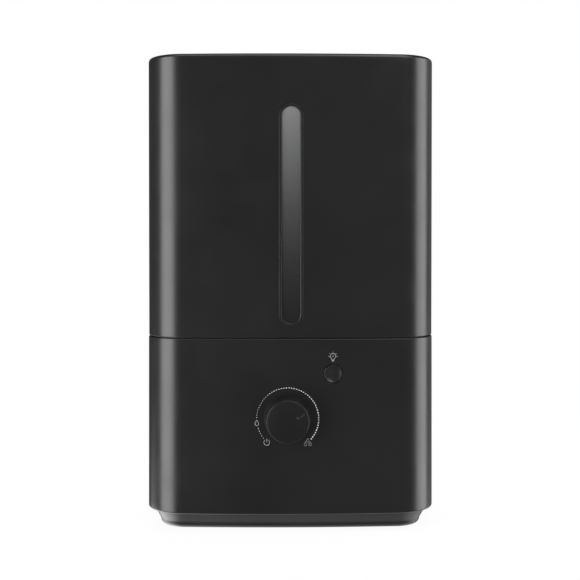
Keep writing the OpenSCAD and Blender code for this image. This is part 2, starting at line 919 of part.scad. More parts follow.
module window_frame() {
    color([0.09, 0.09, 0.095]) translate([window_x, front_y, frame_mid_z]) difference() {
        stadium(frame_w, frame_len, -frame_proud, tank_wall);
        stadium(strip_w, strip_len, -frame_proud - 1, tank_wall + 1);
    }
}

module level_window() {
    color([0.35, 0.36, 0.37, 0.8]) translate([window_x, front_y, frame_mid_z]) {
        stadium(strip_w, strip_len, strip_recess - frame_proud, tank_wall + glue_t + eps);
        stadium(frame_w + 4, frame_len + 3, tank_wall + glue_t, tank_wall + glue_t + 2);
    }
}

module valve_cap() {
    inner = neck_r + neck_wall + cap_gap;
    top = tank_floor_low - 4;
    color([0.2, 0.2, 0.21]) translate([valve_x, valve_y, 0]) {
        difference() {
            union() {
                rod(inner + cap_wall, cap_low, top);
                for (a = [0:30:330]) rotate([0, 0, a])
                    translate([inner + cap_wall - 0.6, -1, cap_low]) cube([1.6, 2, top - cap_low]);
            }
            rod(inner, cap_floor, top + 1);
            rod(6, cap_low - 1, cap_floor + 1);
        }
        difference() {
            union() {
                rod(4, guide_low, guide_low + 5);
                for (a = [30:120:270]) rotate([0, 0, a])
                    translate([3, -1, guide_low]) cube([neck_r - 5, 2, 2]);
                for (a = [30:120:270]) rotate([0, 0, a])
                    translate([neck_r - 3.4, -1, cap_floor - lap])
                        cube([2, 2, guide_low + 2 - cap_floor + lap]);
            }
            rod(stem_r + turn_gap, guide_low - 1, guide_low + 6);
        }
    }
}

module cap_gasket() {
    color([0.75, 0.75, 0.73]) translate([valve_x, valve_y, 0])
        tube(neck_r + neck_wall, neck_r - 0.4, neck_low - 2, neck_low);
}

// Wire wound upwards round the axis, as one closed solid
spring_r = 3.2;
wire_r = 0.35;
spring_turns = 4;
module coil(r, wire, low, high, turns) {
    n = 6;
    m = turns * 16;
    rise = (high - low - 2 * wire) / m;
    points = [
        for (k = [0:m]) for (j = [0:n - 1])
            let (t = 360 * k * turns / m, a = 360 * j / n, q = r + wire * cos(a))
                [q * cos(t), q * sin(t), low + wire + k * rise + wire * sin(a)]
    ];
    sides = [
        for (k = [0:m - 1]) for (j = [0:n - 1])
            let (p = k * n + j, q = k * n + (j + 1) % n)
                [p, p + n, q + n, q]
    ];
    start = [for (j = [0:n - 1]) j];
    end = [for (j = [n - 1:-1:0]) m * n + j];
    polyhedron(points, concat([start], sides, [end]));
}

module valve_spring() {
    low = disc_low + seal_t + plunger_t;
    color([0.7, 0.71, 0.73]) translate([valve_x, valve_y, 0])
        coil(spring_r, wire_r, low, guide_low, spring_turns);
}

module valve_plunger() {
    color([0.85, 0.85, 0.83]) translate([valve_x, valve_y, 0]) {
        rod(stem_r, stem_low, guide_low + 7);
        rod(8.5, disc_low + seal_t, disc_low + seal_t + plunger_t);
    }
}

module valve_seal() {
    color([0.75, 0.75, 0.73]) translate([valve_x, valve_y, 0])
        tube(9, stem_r, disc_low, disc_low + seal_t);
}

// ===== lid and nozzle =====

module tank_lid() {
    skirt = tank_wall + ledge_w + lid_gap;
    sleeve_r = chimney_r + chimney_wall + 0.5;
    color([0.14, 0.14, 0.145]) difference() {
        union() {
            slab(tank_wall + lid_gap, lid_low, lid_top);
            band(skirt, skirt + 2, ledge_low - 5, lid_low + lap);
            translate([0, chimney_y, 0]) {
                rod(sleeve_r + 2, chimney_top - 8, lid_low + lap);
                rod(nozzle_r + 2.6, lid_top - lap, lid_top + 1.2);
            }
        }
        translate([0, chimney_y, 0]) {
            rod(sleeve_r, chimney_top - 9, lid_low);
            rod(chimney_r, lid_low - 1, lid_top + 2);
            rod(nozzle_r + 0.4, lid_top, lid_top + 2);
        }
    }
}

// Two finger ridges, each joined flat to the lid
grip_x = 52;
grip_y = -6;
grip_len = 48;
grip_h = 9;

module lid_grips() {
    color([0.14, 0.14, 0.145]) for (s = [-1, 1])
        translate([s * grip_x, grip_y, lid_top]) rotate([90, 0, 90])
            linear_extrude(5, center = true)
                polygon([[-grip_len / 2, 0], [grip_len / 2, 0],
                         [grip_len / 2 - 4, grip_h], [4 - grip_len / 2, grip_h]]);
}

module lid_gasket() {
    color([0.75, 0.75, 0.73])
        band(tank_wall + lid_gap, tank_wall + ledge_w - 0.3, ledge_top, lid_low);
}

module mist_nozzle() {
    top = lid_top + nozzle_h;
    color([0.11, 0.11, 0.115]) translate([0, chimney_y, 0]) difference() {
        union() {
            rod(nozzle_r, lid_top, top - 1.5);
            rod(nozzle_r - 1.5, lid_top + 1, top);
            rod(chimney_r - slip, lid_low - 2.6, lid_top + 1);
        }
        rod(chimney_r - slip - 1.6, lid_low - 4, lid_top + 3);
        rod(nozzle_r - 2.2, lid_top + 2, top - 2.4);
        translate([-9, -nozzle_r - 1, lid_top + 4]) cube([18, nozzle_r - 4, nozzle_h]);
    }
}

module nozzle_retainer() {
    color([0.8, 0.8, 0.78]) translate([0, chimney_y, 0])
        tube(chimney_r + 2.4, chimney_r - slip, lid_low - 2.2, lid_low - 0.3);
}

base_housing();
foot_plinth();
ring_foot();
bottom_screws();
water_basin();
basin_bosses();
air_tower();
transducer_well();
transducer_disc();
transducer_seal();
transducer_bracket();
transducer_screws();
driver_board();
board_screws();
heat_sink();
drive_coil();
capacitors();
fan_frame();
fan_stator();
fan_screws();
air_duct();
intake_filter();
filter_retainer();
float_cap();
reed_switch();
night_light_led();
control_board();
control_screws();
control_body();
tact_switch();
power_inlet();
inlet_nut();
fan_lead();
disc_lead();
panel_lead();
inlet_lead();
fan_impeller();
rotor_magnet();
float_ring();
float_magnet();
mist_knob();
control_shaft();
night_light_button();
switch_plunger();
tank_shell();
lid_ledge();
tank_bottom();
mist_chimney();
level_window();
window_frame();
valve_cap();
cap_gasket();
valve_spring();
valve_plunger();
valve_seal();
tank_lid();
lid_grips();
lid_gasket();
mist_nozzle();
nozzle_retainer();
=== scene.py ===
"""Cool mist humidifier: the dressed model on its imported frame.

Lengths are millimetres until a mesh is made, and metres after that. +Z is up,
the front with the knob faces -Y. The origin is the centre of the footprint.
"""
import json
import math

import bmesh
import bpy
import numpy as np
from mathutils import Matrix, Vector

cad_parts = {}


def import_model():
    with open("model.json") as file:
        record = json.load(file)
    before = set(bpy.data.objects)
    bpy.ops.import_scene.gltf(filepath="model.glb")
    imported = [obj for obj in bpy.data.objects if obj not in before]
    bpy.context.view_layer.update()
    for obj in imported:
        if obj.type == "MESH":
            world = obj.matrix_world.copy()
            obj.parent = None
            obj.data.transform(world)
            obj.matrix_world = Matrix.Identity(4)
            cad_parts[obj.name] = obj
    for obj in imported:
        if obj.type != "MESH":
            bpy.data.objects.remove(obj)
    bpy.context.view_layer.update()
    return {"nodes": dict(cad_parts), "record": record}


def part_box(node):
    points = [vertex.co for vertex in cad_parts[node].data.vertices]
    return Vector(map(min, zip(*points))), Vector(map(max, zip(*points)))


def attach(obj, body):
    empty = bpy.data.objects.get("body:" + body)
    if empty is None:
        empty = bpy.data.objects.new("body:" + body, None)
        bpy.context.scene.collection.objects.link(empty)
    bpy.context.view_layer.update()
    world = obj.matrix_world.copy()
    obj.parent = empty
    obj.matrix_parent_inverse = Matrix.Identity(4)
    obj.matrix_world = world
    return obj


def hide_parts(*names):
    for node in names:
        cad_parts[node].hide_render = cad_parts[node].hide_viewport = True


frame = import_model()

MM = 0.001


def corners(node):
    """Lowest and highest corner of a CAD node, in millimetres."""
    low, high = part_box(node)
    return np.array(low) / MM, np.array(high) / MM


# ===== sizes taken from the frame =====
TANK_LOW, TANK_HIGH = corners("tank_shell")
BASE_LOW, BASE_HIGH = corners("base_housing")
KNOB_LOW, KNOB_HIGH = corners("mist_knob")
BUTTON_LOW, BUTTON_HIGH = corners("night_light_button")
FRAME_LOW, FRAME_HIGH = corners("window_frame")
INLET_LOW, INLET_HIGH = corners("power_inlet")
NOZZLE_LOW, NOZZLE_HIGH = corners("mist_nozzle")
FOOT_BOTTOM = corners("foot_plinth")[0][2]
RING_TOP = corners("ring_foot")[1][2]
SLEEVE_BOTTOM = corners("tank_lid")[0][2]

HALF_W, HALF_D = TANK_HIGH[:2]
RIM_Z, SEAM_Z = TANK_HIGH[2], TANK_LOW[2]
BASE_TOP, FOOT_H = BASE_HIGH[2], BASE_LOW[2]
KNOB_X, KNOB_Z = (KNOB_LOW[[0, 2]] + KNOB_HIGH[[0, 2]]) / 2
BUTTON_X, BUTTON_Z = (BUTTON_LOW[[0, 2]] + BUTTON_HIGH[[0, 2]]) / 2
INLET_Z = (INLET_LOW[2] + INLET_HIGH[2]) / 2
WINDOW_X, WINDOW_Z = (FRAME_LOW[[0, 2]] + FRAME_HIGH[[0, 2]]) / 2
WINDOW_R = (FRAME_HIGH[0] - FRAME_LOW[0]) / 2
WINDOW_HALF = (FRAME_HIGH[2] - FRAME_LOW[2]) / 2 - WINDOW_R
CHIMNEY_Y = (NOZZLE_LOW[1] + NOZZLE_HIGH[1]) / 2

# ===== sizes that the boxes don't give =====
# corner radius of the footprint, the least one further in, and the steps round a corner
CORNER, MIN_CORNER, CORNER_STEPS = 24.0, 3.0, 14
# radius of the bow of the front and the back, and half the straight runs
BOW = 1050.0
RUN_X, RUN_Y = HALF_W - CORNER, HALF_D - CORNER
# the tank's wall, its rim's radius and its draft at the foot, and the base's inset and wall
TANK_WALL, RIM_R, DRAFT = 3.0, 2.6, 0.4
BASE_INSET, BASE_WALL = 0.2, 2.5
# how far the nozzle stands over the lid's plate, and the plate's thickness
NOZZLE_RISE, LID_PLATE = 12.5, 2.5
LID_TOP = NOZZLE_HIGH[2] - NOZZLE_RISE
LID_BOTTOM = LID_TOP - LID_PLATE

# ===== how meshes are finished =====
# points closer than this many metres are welded
WELD = 2e-6
# angles: shaded sharp above the first, bevelled above the second, joined below the third
SHARP, BEVEL_FROM, FLAT_BELOW = math.radians(38), math.radians(35), math.radians(0.5)


# ===== surfaces =====

class Shell:
    """Points and faces of one piece while its surfaces are worked out."""

    def __init__(self):
        self.points, self.faces, self.caps, self.count = [], [], [], 0

    def add(self, points):
        """Keeps an array of points and gives back their numbers in the same layout."""
        points = np.asarray(points, float)
        ids = self.count + np.arange(points[..., 0].size).reshape(points.shape[:-1])
        self.points.append(points.reshape(-1, 3))
        self.count += ids.size
        return ids

    def at(self, ids):
        """Points with these numbers."""
        return np.concatenate(self.points)[ids]

    def cells(self, ids, rows_close=False, cols_close=False, holes=()):
        """Quads between neighbouring rows and columns, except in the holes' index boxes."""
        down = np.vstack([ids, ids[:1]]) if rows_close else ids
        grid = np.hstack([down, down[:, :1]]) if cols_close else down
        quads = np.stack([grid[:-1, :-1], grid[:-1, 1:], grid[1:, 1:], grid[1:, :-1]], -1)
        keep = np.ones(quads.shape[:2], bool)
        for r0, r1, c0, c1 in holes:
            keep[r0:r1, c0:c1] = False
        self.faces.append(quads[keep])

    def bridge(self, one, other):
        """Quads that join two closed loops with the same number of points."""
        self.cells(np.stack([one, other]), cols_close=True)

    def cap(self, loop):
        """One flat face that closes a loop."""
        self.caps.append(loop.tolist())


def patch(ids, box):
    """The part of a grid that an index box covers, with its edge."""
    r0, r1, c0, c1 = box
    return ids[r0:r1 + 1, c0:c1 + 1]


def border(ids):
    """The numbers round the edge of a grid, once round."""
    return np.concatenate([ids[0, :-1], ids[:-1, -1], ids[-1, :0:-1], ids[:0:-1, 0]])


def near(values, wanted):
    """Index of the value closest to the wanted one."""
    return int(np.argmin(np.abs(np.asarray(values) - wanted)))


def bowed(x):
    """Share of the depth left at x: one less x squared over (twice BOW times HALF_D)."""
    return 1 - x * x / (2 * BOW * HALF_D)


def carried(levels, front, back, side):
    """Points of a profile carried round the footprint.

    Each level is (inset at the sides, inset at the front, height). A level is a
    rounded rectangle whose corner radius is CORNER less its smaller inset, and no
    less than MIN_CORNER. Its depth is then multiplied by bowed(x). front, back and
    side are shares of the straight runs.
    """
    ix, iy, z = np.array(levels, float).T[..., None]
    r = np.maximum(CORNER - np.minimum(ix, iy), MIN_CORNER)
    cx, cy = HALF_W - ix - r, HALF_D - iy - r
    a = np.linspace(0, math.pi / 2, CORNER_STEPS + 1)[1:-1]
    s, c = r * np.sin(a), r * np.cos(a)
    f, b, d = front + 0 * r, back[::-1] + 0 * r, side + 0 * r
    x = np.hstack([f * cx, cx + s, cx + r + 0 * d, cx + c,
                   b * cx, -cx - s, -cx - r + 0 * d, -cx - c])
    y = np.hstack([-cy - r + 0 * f, -cy - c, d * cy, cy + s,
                   cy + r + 0 * b, cy + c, d[:, ::-1] * cy, -cy - s])
    return np.stack([x, y * bowed(x), z + 0 * x], -1)


def even(profile):
    """Levels of (inset, height) with the same inset at the sides and at the front."""
    return [(inset, inset, height) for inset, height in profile]


def band(shell, profile, front, back, side):
    """A closed section of (inset, height) carried round the footprint."""
    ids = shell.add(carried(even(profile), front, back, side))
    shell.cells(ids, rows_close=True, cols_close=True)


def sheet(front, side, reach, z):
    """A flat grid inside the footprint, whose edge has a point for each point of a level.

    The columns are the front's, run on past the corner's centre by reach times
    the tangent of the corner's angle, and the rows are the side's, in the same way.
    """
    more = reach * np.tan(np.linspace(0, math.pi / 4, CORNER_STEPS // 2 + 1)[1:])
    xs = np.concatenate([-RUN_X - more[::-1], front * RUN_X, RUN_X + more])
    ys = np.concatenate([-RUN_Y - more[::-1], side * RUN_Y, RUN_Y + more])
    x, y = np.meshgrid(xs, ys)
    return np.stack([x, y * bowed(x), z + 0 * x], -1), xs, ys


def sheet_border(ids):
    """The sheet's edge, started at the point that a carried level starts at."""
    return np.roll(border(ids), -(CORNER_STEPS // 2))


def opening(shell, outer, inner, centre, half, profile, place, axes):
    """Sinks or cuts an upright slot with round ends into a skin, with its rolled edge.

    outer and inner are the patches left out of the two skins, or inner is None for
    a pocket. Each point of the outer patch's edge is drawn straight towards the
    slot's axis, of half length half, and the profile's (radius, depth) pairs follow
    from there. place puts (across, along, depth) in space, and axes are the two
    coordinates that across and along are read from.
    """
    loop = border(outer)
    u, v = shell.at(loop)[:, axes].T
    on_axis = np.clip(v, centre[1] - half, centre[1] + half)
    away = np.stack([u - centre[0], v - on_axis])
    away /= np.linalg.norm(away, axis=0)
    first = profile[0][0]
    wide = np.stack([centre[0] + first * away[0], on_axis + first * away[1]])
    rings = [place(*(np.stack([u, v]) * (1 - s) + wide * s), 0.0) for s in (0.35, 0.7)]
    rings += [place(centre[0] + r * away[0], on_axis + r * away[1], w) for r, w in profile]
    for ring in rings:
        ids = shell.add(ring)
        shell.bridge(loop, ids)
        loop = ids
    if inner is None:
        shell.cap(loop)
    else:
        shell.bridge(loop, border(inner))


def rolled(radius, edge, depth, steps=4):
    """Profile of a plain hole whose mouth is rounded.

    The radius is radius plus edge times (1 less sine), the depth edge times (1 less cosine).
    """
    a = np.linspace(0, math.pi / 2, steps + 1)
    mouth = [(radius + edge * (1 - math.sin(t)), edge * (1 - math.cos(t))) for t in a]
    return mouth + [(radius, depth)]


def quarter(x0, z0, r, start, stop, steps=5):
    """Points on an arc about (x0, z0) between two angles in degrees."""
    a = np.radians(np.linspace(start, stop, steps + 1))
    return [(x0 + r * math.cos(t), z0 + r * math.sin(t)) for t in a]


def inset_arc(centre, z0, r, start, stop, steps):
    """Points on an arc as (inset, height), about a centre at that inset and height."""
    return [(centre - out, z) for out, z in quarter(0, z0, r, start, stop, steps)]


def front_arc(r0, y0, r, start, stop, steps=5):
    """Points on an arc as (radius, y), about (r0, y0), where 90 degrees faces the front."""
    return [(out, -y) for out, y in quarter(r0, -y0, r, start, stop, steps)]


def circle(n):
    """Angles once round."""
    return np.linspace(0, 2 * math.pi, n, endpoint=False)


def slot_angles(n):
    """Angles round a slot with round ends, each end with its own first and last point."""
    aside = 1e-7
    return np.concatenate([np.linspace(0, math.pi, n),
                           np.linspace(math.pi + aside, 2 * math.pi - aside, n)])


def turned(profile, angles, half=0.0):
    """A profile of (radius, height) carried round an upright slot, or a circle at half 0.

    Gives (across, along, height): radius times cosine, radius times sine plus or
    minus half, height.
    """
    r, h = np.array(profile, float).T[..., None]
    shift = np.where(np.sin(angles) >= 0, half, -half)
    return np.stack([r * np.cos(angles), r * np.sin(angles) + shift, h + 0 * angles], -1)


def fronted(shell, profile, angles, x, z, half=0.0):
    """A profile of (radius, y) turned about an axis through (x, z) that faces the front."""
    across, along, y = np.moveaxis(turned(profile, angles, half), -1, 0)
    return shell.add(np.stack([x + across, y, z + along], -1))


def tube(shell, x, y, outer, inner, low, high, n=32):
    """An upright tube with small bevelled edges."""
    cut = 0.2
    profile = [(inner, low), (outer - cut, low), (outer, low + cut), (outer, high - cut),
               (outer - cut, high), (inner, high)]
    ids = shell.add(turned(profile, circle(n)) + np.array([x, y, 0]))
    shell.cells(ids, rows_close=True, cols_close=True)


def piece(name, shell, body, slot, node=None, finish=None):
    """Makes the mesh, welds its seams, turns its faces outwards and puts it in the scene."""
    mesh = bpy.data.meshes.new(name)
    faces = np.concatenate(shell.faces).tolist() + shell.caps
    mesh.from_pydata((np.concatenate(shell.points) * MM).tolist(), [], faces)
    clean(mesh)
    placed(name, mesh, body, node, finish or FINISH[slot])


def clean(mesh, join=False):
    """Welds doubles, joins flat faces where asked, points faces outwards, marks sharp edges."""
    bm = bmesh.new()
    bm.from_mesh(mesh)
    bmesh.ops.remove_doubles(bm, verts=bm.verts, dist=WELD)
    if join:
        bmesh.ops.dissolve_limit(bm, angle_limit=FLAT_BELOW, verts=bm.verts, edges=bm.edges)
    bmesh.ops.recalc_face_normals(bm, faces=bm.faces)
    bm.to_mesh(mesh)
    bm.free()
    mesh.shade_smooth()
    mesh.set_sharp_from_angle(angle=SHARP)


def placed(name, mesh, body, node, finish):
    """Puts a mesh in the scene as a piece that rides on a body and stands for a CAD node."""
    thing = bpy.data.objects.new(name, mesh)
    bpy.context.scene.collection.objects.link(thing)
    mesh.materials.clear()
    mesh.materials.append(finish)
    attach(thing, body)
    if node:
        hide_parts(node)
    return thing


def softened(name, node, body, slot, width):
    """A CAD node's own shape with its edges rounded by a bevel."""
    mesh = frame["nodes"][node].data.copy()
    mesh.name = name
    clean(mesh, join=True)
    thing = placed(name, mesh, body, node, FINISH[slot])
    bevel = thing.modifiers.new("rounded edges", "BEVEL")
    bevel.width = width * MM
    bevel.segments = 3
    bevel.limit_method = "ANGLE"
    bevel.angle_limit = BEVEL_FROM
    bevel.harden_normals = True


# ===== finishes =====

def new_group(name, inputs, outputs):
    """An empty node group with named float inputs and float outputs."""
    tree = bpy.data.node_groups.new(name, "ShaderNodeTree")
    for label, value in inputs:
        socket = tree.interface.new_socket(label, in_out="INPUT", socket_type="NodeSocketFloat")
        socket.default_value = value
    for label in outputs:
        tree.interface.new_socket(label, in_out="OUTPUT", socket_type="NodeSocketFloat")
    return tree, tree.nodes.new("NodeGroupInput"), tree.nodes.new("NodeGroupOutput")


def give(socket, value):
    """Links another node's output to a socket, or gives the socket a number, colour or vector."""
    if isinstance(value, bpy.types.NodeSocket):
        socket.id_data.links.new(value, socket)
    else:
        socket.default_value = value


def new_node(tree, kind, **inputs):
    """A new shader node, its inputs named with an underscore for each space."""
    node = tree.nodes.new("ShaderNode" + kind)
    for label, value in inputs.items():
        give(node.inputs[label.replace("_", " ")], value)
    return node


def position(tree):
    """A point's place on its own object."""
    return new_node(tree, "TexCoord").outputs["Object"]


def noise(tree, where, scale, detail, rough=0.5):
    """A noise texture on a position."""
    node = new_node(tree, "TexNoise", Vector=where, Scale=scale, Detail=detail, Roughness=rough)
    return node.outputs["Fac"]


def ranged(tree, value, a, b, low=0.0, high=1.0):
    """Maps a value from one range to another and keeps it inside."""
    node = new_node(tree, "MapRange", Value=value, From_Min=a, From_Max=b, To_Min=low, To_Max=high)
    return node.outputs["Result"]


def maths(tree, operation, *values, kind="Math"):
    """One math node, or one vector math node that gives a number."""
    node = new_node(tree, kind)
    node.operation = operation
    for socket, value in zip(node.inputs, values):
        give(socket, value)
    return node.outputs["Value"]


def moulded_group():
    """Moulded plastic: fine spark-eroded grain, faint flow clouds, and handling smudges."""
    tree, given, out = new_group(
        "moulded skin",
        [("Grain scale", 2600.0), ("Cloud scale", 14.0), ("Smudge scale", 45.0)],
        ["Height", "Cloud", "Smudge"],
    )
    where = position(tree)
    fine = noise(tree, where, given.outputs["Grain scale"], 3.0, 0.62)
    cloud = noise(tree, where, given.outputs["Cloud scale"], 2.0)
    smudge = noise(tree, where, given.outputs["Smudge scale"], 4.0, 0.55)
    give(out.inputs["Height"], ranged(tree, fine, 0.3, 0.7))
    give(out.inputs["Cloud"], ranged(tree, cloud, 0.35, 0.65))
    give(out.inputs["Smudge"], ranged(tree, smudge, 0.42, 0.72))
    return tree


def drawn_group():
    """Drawn or turned metal: noise stretched along one axis, with small dull spots."""
    tree, given, out = new_group(
        "drawn metal", [("Line scale", 900.0), ("Spot scale", 220.0)], ["Height", "Spots"]
    )
    where = position(tree)
    stretched = new_node(tree, "Mapping", Vector=where, Scale=(1.0, 1.0, 0.08)).outputs["Vector"]
    spots = noise(tree, where, given.outputs["Spot scale"], 3.0, 0.6)
    give(out.inputs["Height"], noise(tree, stretched, given.outputs["Line scale"], 3.0))
    give(out.inputs["Spots"], ranged(tree, spots, 0.4, 0.7))
    return tree


MOULDED = moulded_group()
DRAWN = drawn_group()


def new_finish(name, group):
    """A material with its Principled shader and one placed effect group."""
    material = bpy.data.materials.new(name)
    material.use_nodes = True
    tree = material.node_tree
    effect = new_node(tree, "Group")
    effect.node_tree = group
    return material, tree, tree.nodes["Principled BSDF"], effect


def tint(tree, shader, mask, first, second):
    """Colours the shader between two colours, by a mask."""
    mix = new_node(tree, "Mix")
    mix.data_type = "RGBA"
    give(mix.inputs["A"], (*first, 1))
    give(mix.inputs["B"], (*second, 1))
    give(mix.inputs["Factor"], mask)
    give(shader.inputs["Base Color"], mix.outputs["Result"])


def roughen(tree, shader, mask, low, high):
    """Sets the shader's roughness between two values, by a mask."""
    give(shader.inputs["Roughness"], ranged(tree, mask, 0.0, 1.0, low, high))


def bump(tree, shader, height, strength, distance):
    """Feeds a height into the shader's normal."""
    node = new_node(tree, "Bump", Height=height, Strength=strength, Distance=distance)
    give(shader.inputs["Normal"], node.outputs["Normal"])


def plastic(name, colour, rough, grain=2600.0, depth=0.12, tone=0.12, **inputs):
    """Moulded plastic or rubber in one colour, with grain, clouds and smudges.

    tone is how far the clouds shift the colour to either side, and inputs are set on
    the shader.
    """
    smudged = 0.05
    material, tree, shader, effect = new_finish(name, MOULDED)
    give(effect.inputs["Grain scale"], grain)
    deep, light = ([c * (1 + shift) for c in colour] for shift in (-tone, tone))
    tint(tree, shader, effect.outputs["Cloud"], deep, light)
    roughen(tree, shader, effect.outputs["Smudge"], rough, rough + smudged)
    bump(tree, shader, effect.outputs["Height"], depth, 2e-5)
    for label, value in inputs.items():
        give(shader.inputs[label.replace("_", " ")], value)
    return material


def metal(name, colour, rough, line):
    """Plain metal with drawing lines and dull spots."""
    darker, duller = 0.85, 0.12
    material, tree, shader, effect = new_finish(name, DRAWN)
    give(effect.inputs["Line scale"], line)
    give(shader.inputs["Metallic"], 1.0)
    tint(tree, shader, effect.outputs["Spots"], colour, [c * darker for c in colour])
    roughen(tree, shader, effect.outputs["Spots"], rough, rough + duller)
    bump(tree, shader, effect.outputs["Height"], 0.15, 3e-5)
    return material


def circuit_finish(name):
    """Green solder resist over copper tracks: the raised edges of square cells."""
    material, tree, shader, effect = new_finish(name, MOULDED)
    cells = new_node(tree, "TexVoronoi", Vector=position(tree), Scale=190.0)
    cells.distance = "MANHATTAN"
    tracks = ranged(tree, cells.outputs["Distance"], 0.46, 0.5)
    tint(tree, shader, tracks, (0.012, 0.09, 0.035), (0.03, 0.2, 0.07))
    roughen(tree, shader, effect.outputs["Smudge"], 0.3, 0.42)
    bump(tree, shader, tracks, 0.3, 4e-5)
    return material


def wound_finish(name):
    """Enamelled wire in turns: a sine along the axis gives the ridges, and a painted shade that
    darkens the wire between the turns and lightens it on their crowns.
    """
    material, tree, shader, effect = new_finish(name, DRAWN)
    turns = new_node(tree, "TexWave", Vector=position(tree), Scale=420.0, Distortion=0.4)
    turns.bands_direction = "Z"
    turns.wave_profile = "SIN"
    # painted shade: the wire's colour darkens between the turns and lightens on their crowns
    tint(tree, shader, turns.outputs["Fac"], (0.2, 0.07, 0.025), (0.6, 0.27, 0.1))
    roughen(tree, shader, effect.outputs["Spots"], 0.25, 0.4)
    give(shader.inputs["Metallic"], 0.8)
    bump(tree, shader, turns.outputs["Fac"], 0.6, 1e-4)
    return material


def foam_finish(name):
    """Open-cell foam: pale cell walls, with painted shade that darkens the pores between them."""
    material, tree, shader, effect = new_finish(name, MOULDED)
    cells = new_node(tree, "TexVoronoi", Vector=position(tree), Scale=900.0)
    cells.feature = "DISTANCE_TO_EDGE"
    pores = ranged(tree, cells.outputs["Distance"], 0.05, 0.3)
    # painted shade: the pores are coloured darker than the cell walls
    tint(tree, shader, pores, (0.06, 0.06, 0.065), (0.006, 0.006, 0.007))
    roughen(tree, shader, effect.outputs["Smudge"], 0.8, 0.95)
    bump(tree, shader, pores, 1.0, 3e-4)
    return material


def painted_light_strip_finish(name):
    """Smoked clear strip under a clear gloss, with painted backlight: lighter towards its upper
    end, and darker by height towards its lower end.
    """
    low, high = (WINDOW_Z - 64) * MM, (WINDOW_Z + 70) * MM
    # painted light: the strip's colour steps, lighter towards its upper end as if lit through from
    # behind
    painted_light_steps = [(0.0, 0.009), (0.12, 0.0137), (0.25, 0.0193), (0.38, 0.0308), (0.51, 0.0453),
              (0.64, 0.0675), (0.77, 0.0937), (0.89, 0.122), (0.96, 0.144), (1.0, 0.172)]
    material, tree, shader, effect = new_finish(name, MOULDED)
    height = new_node(tree, "SeparateXYZ", Vector=position(tree)).outputs["Z"]
    painted_light_ramp = new_node(tree, "ValToRGB", Fac=ranged(tree, height, low, high))
    stops = painted_light_ramp.color_ramp.elements
    while len(stops) < len(painted_light_steps):
        stops.new(0.5)
    for stop, (place, value) in zip(stops, painted_light_steps):
        stop.position = place
        stop.color = (value, value * 1.005, value * 1.01, 1)
    give(shader.inputs["Base Color"], painted_light_ramp.outputs["Color"])
    roughen(tree, shader, effect.outputs["Smudge"], 0.16, 0.24)
    give(shader.inputs["Coat Weight"], 0.2)
    give(shader.inputs["Coat Roughness"], 0.05)
    return material


FINISH = {
    "shell_black": plastic("satin black shell", (0.0081, 0.0081, 0.0084), 0.29),
    "foot_grey": plastic("foot satin", (0.013, 0.013, 0.0134), 0.33, depth=0.2),
    "knob_black": plastic("knob satin", (0.0056, 0.0056, 0.0058), 0.31, grain=3200.0),
    "button_black": plastic("button satin", (0.006, 0.006, 0.0062), 0.24, grain=3600.0, depth=0.05,
                            Specular_IOR_Level=1.0),
    "trim_black": plastic("trim gloss", (0.0105, 0.0105, 0.0108), 0.24, grain=3600.0, depth=0.06),
    # the smoked strip's colour carries painted backlight, lighter towards its upper end
    "smoke_clear": painted_light_strip_finish("smoked strip with painted backlight"),
    "basin_grey": plastic("basin satin", (0.07, 0.07, 0.073), 0.4),
    "black_rubber": plastic("foot rubber", (0.02, 0.02, 0.02), 0.7, grain=1500.0, depth=0.4,
                            tone=0.25),
    "pale_silicone": plastic("pale silicone", (0.62, 0.62, 0.6), 0.45, depth=0.08, tone=0.04,
                             Subsurface_Weight=0.15, Subsurface_Scale=0.002),
    "white_plastic": plastic("white plastic", (0.7, 0.7, 0.68), 0.38, tone=0.03),
    "screw_steel": metal("zinc steel", (0.55, 0.56, 0.58), 0.28, 1400.0),
    "light_metal": metal("plain aluminium", (0.7, 0.71, 0.73), 0.32, 700.0),
    "disc_ceramic": plastic("fired disc", (0.62, 0.57, 0.42), 0.42, grain=900.0, tone=0.08),
    "board_green": circuit_finish("solder resist"),
    "coil_copper": wound_finish("enamelled wire"),
    "part_blue": plastic("shrink sleeve", (0.03, 0.05, 0.16), 0.25, tone=0.1),
    "dark_plastic": plastic("dark moulding", (0.02, 0.02, 0.02), 0.42),
    "filter_foam": foam_finish("open foam"),
    "magnet_grey": plastic("pressed ferrite", (0.09, 0.09, 0.095), 0.55, grain=1200.0, depth=0.4),
    "glass_tube": plastic("glass tube", (0.6, 0.75, 0.7), 0.05, tone=0.03, depth=0.0,
                          Transmission_Weight=0.8),
    "led_lens": plastic("frosted lens", (0.85, 0.83, 0.7), 0.35, tone=0.03,
                        Transmission_Weight=0.3),
    "lead_red": plastic("red lead", (0.5, 0.03, 0.03), 0.4, tone=0.08),
    "lead_white": plastic("white lead", (0.6, 0.6, 0.57), 0.4, tone=0.05),
    "lead_blue": plastic("blue lead", (0.04, 0.04, 0.3), 0.4, tone=0.08),
    "lead_black": plastic("black lead", (0.02, 0.02, 0.02), 0.4, tone=0.1),
}
DOT_PRINT = plastic("white dot print", (0.9, 0.9, 0.9), 0.5, tone=0.04, depth=0.05)
SIGN_PRINT = plastic("grey sign print", (0.27, 0.27, 0.27), 0.5, tone=0.04, depth=0.05)

for part in frame["record"]["subparts"]:
    data = frame["nodes"][part["node"]].data
    data.materials.clear()
    data.materials.append(FINISH[part["material_slot"]])


# ===== tank =====

def wall(inset, sign):
    """Where (x, z, depth) lies in the front or back wall whose skin stands in by an inset."""
    return lambda u, v, w: np.stack([u, sign * (HALF_D - inset - w) * bowed(u), v], -1)


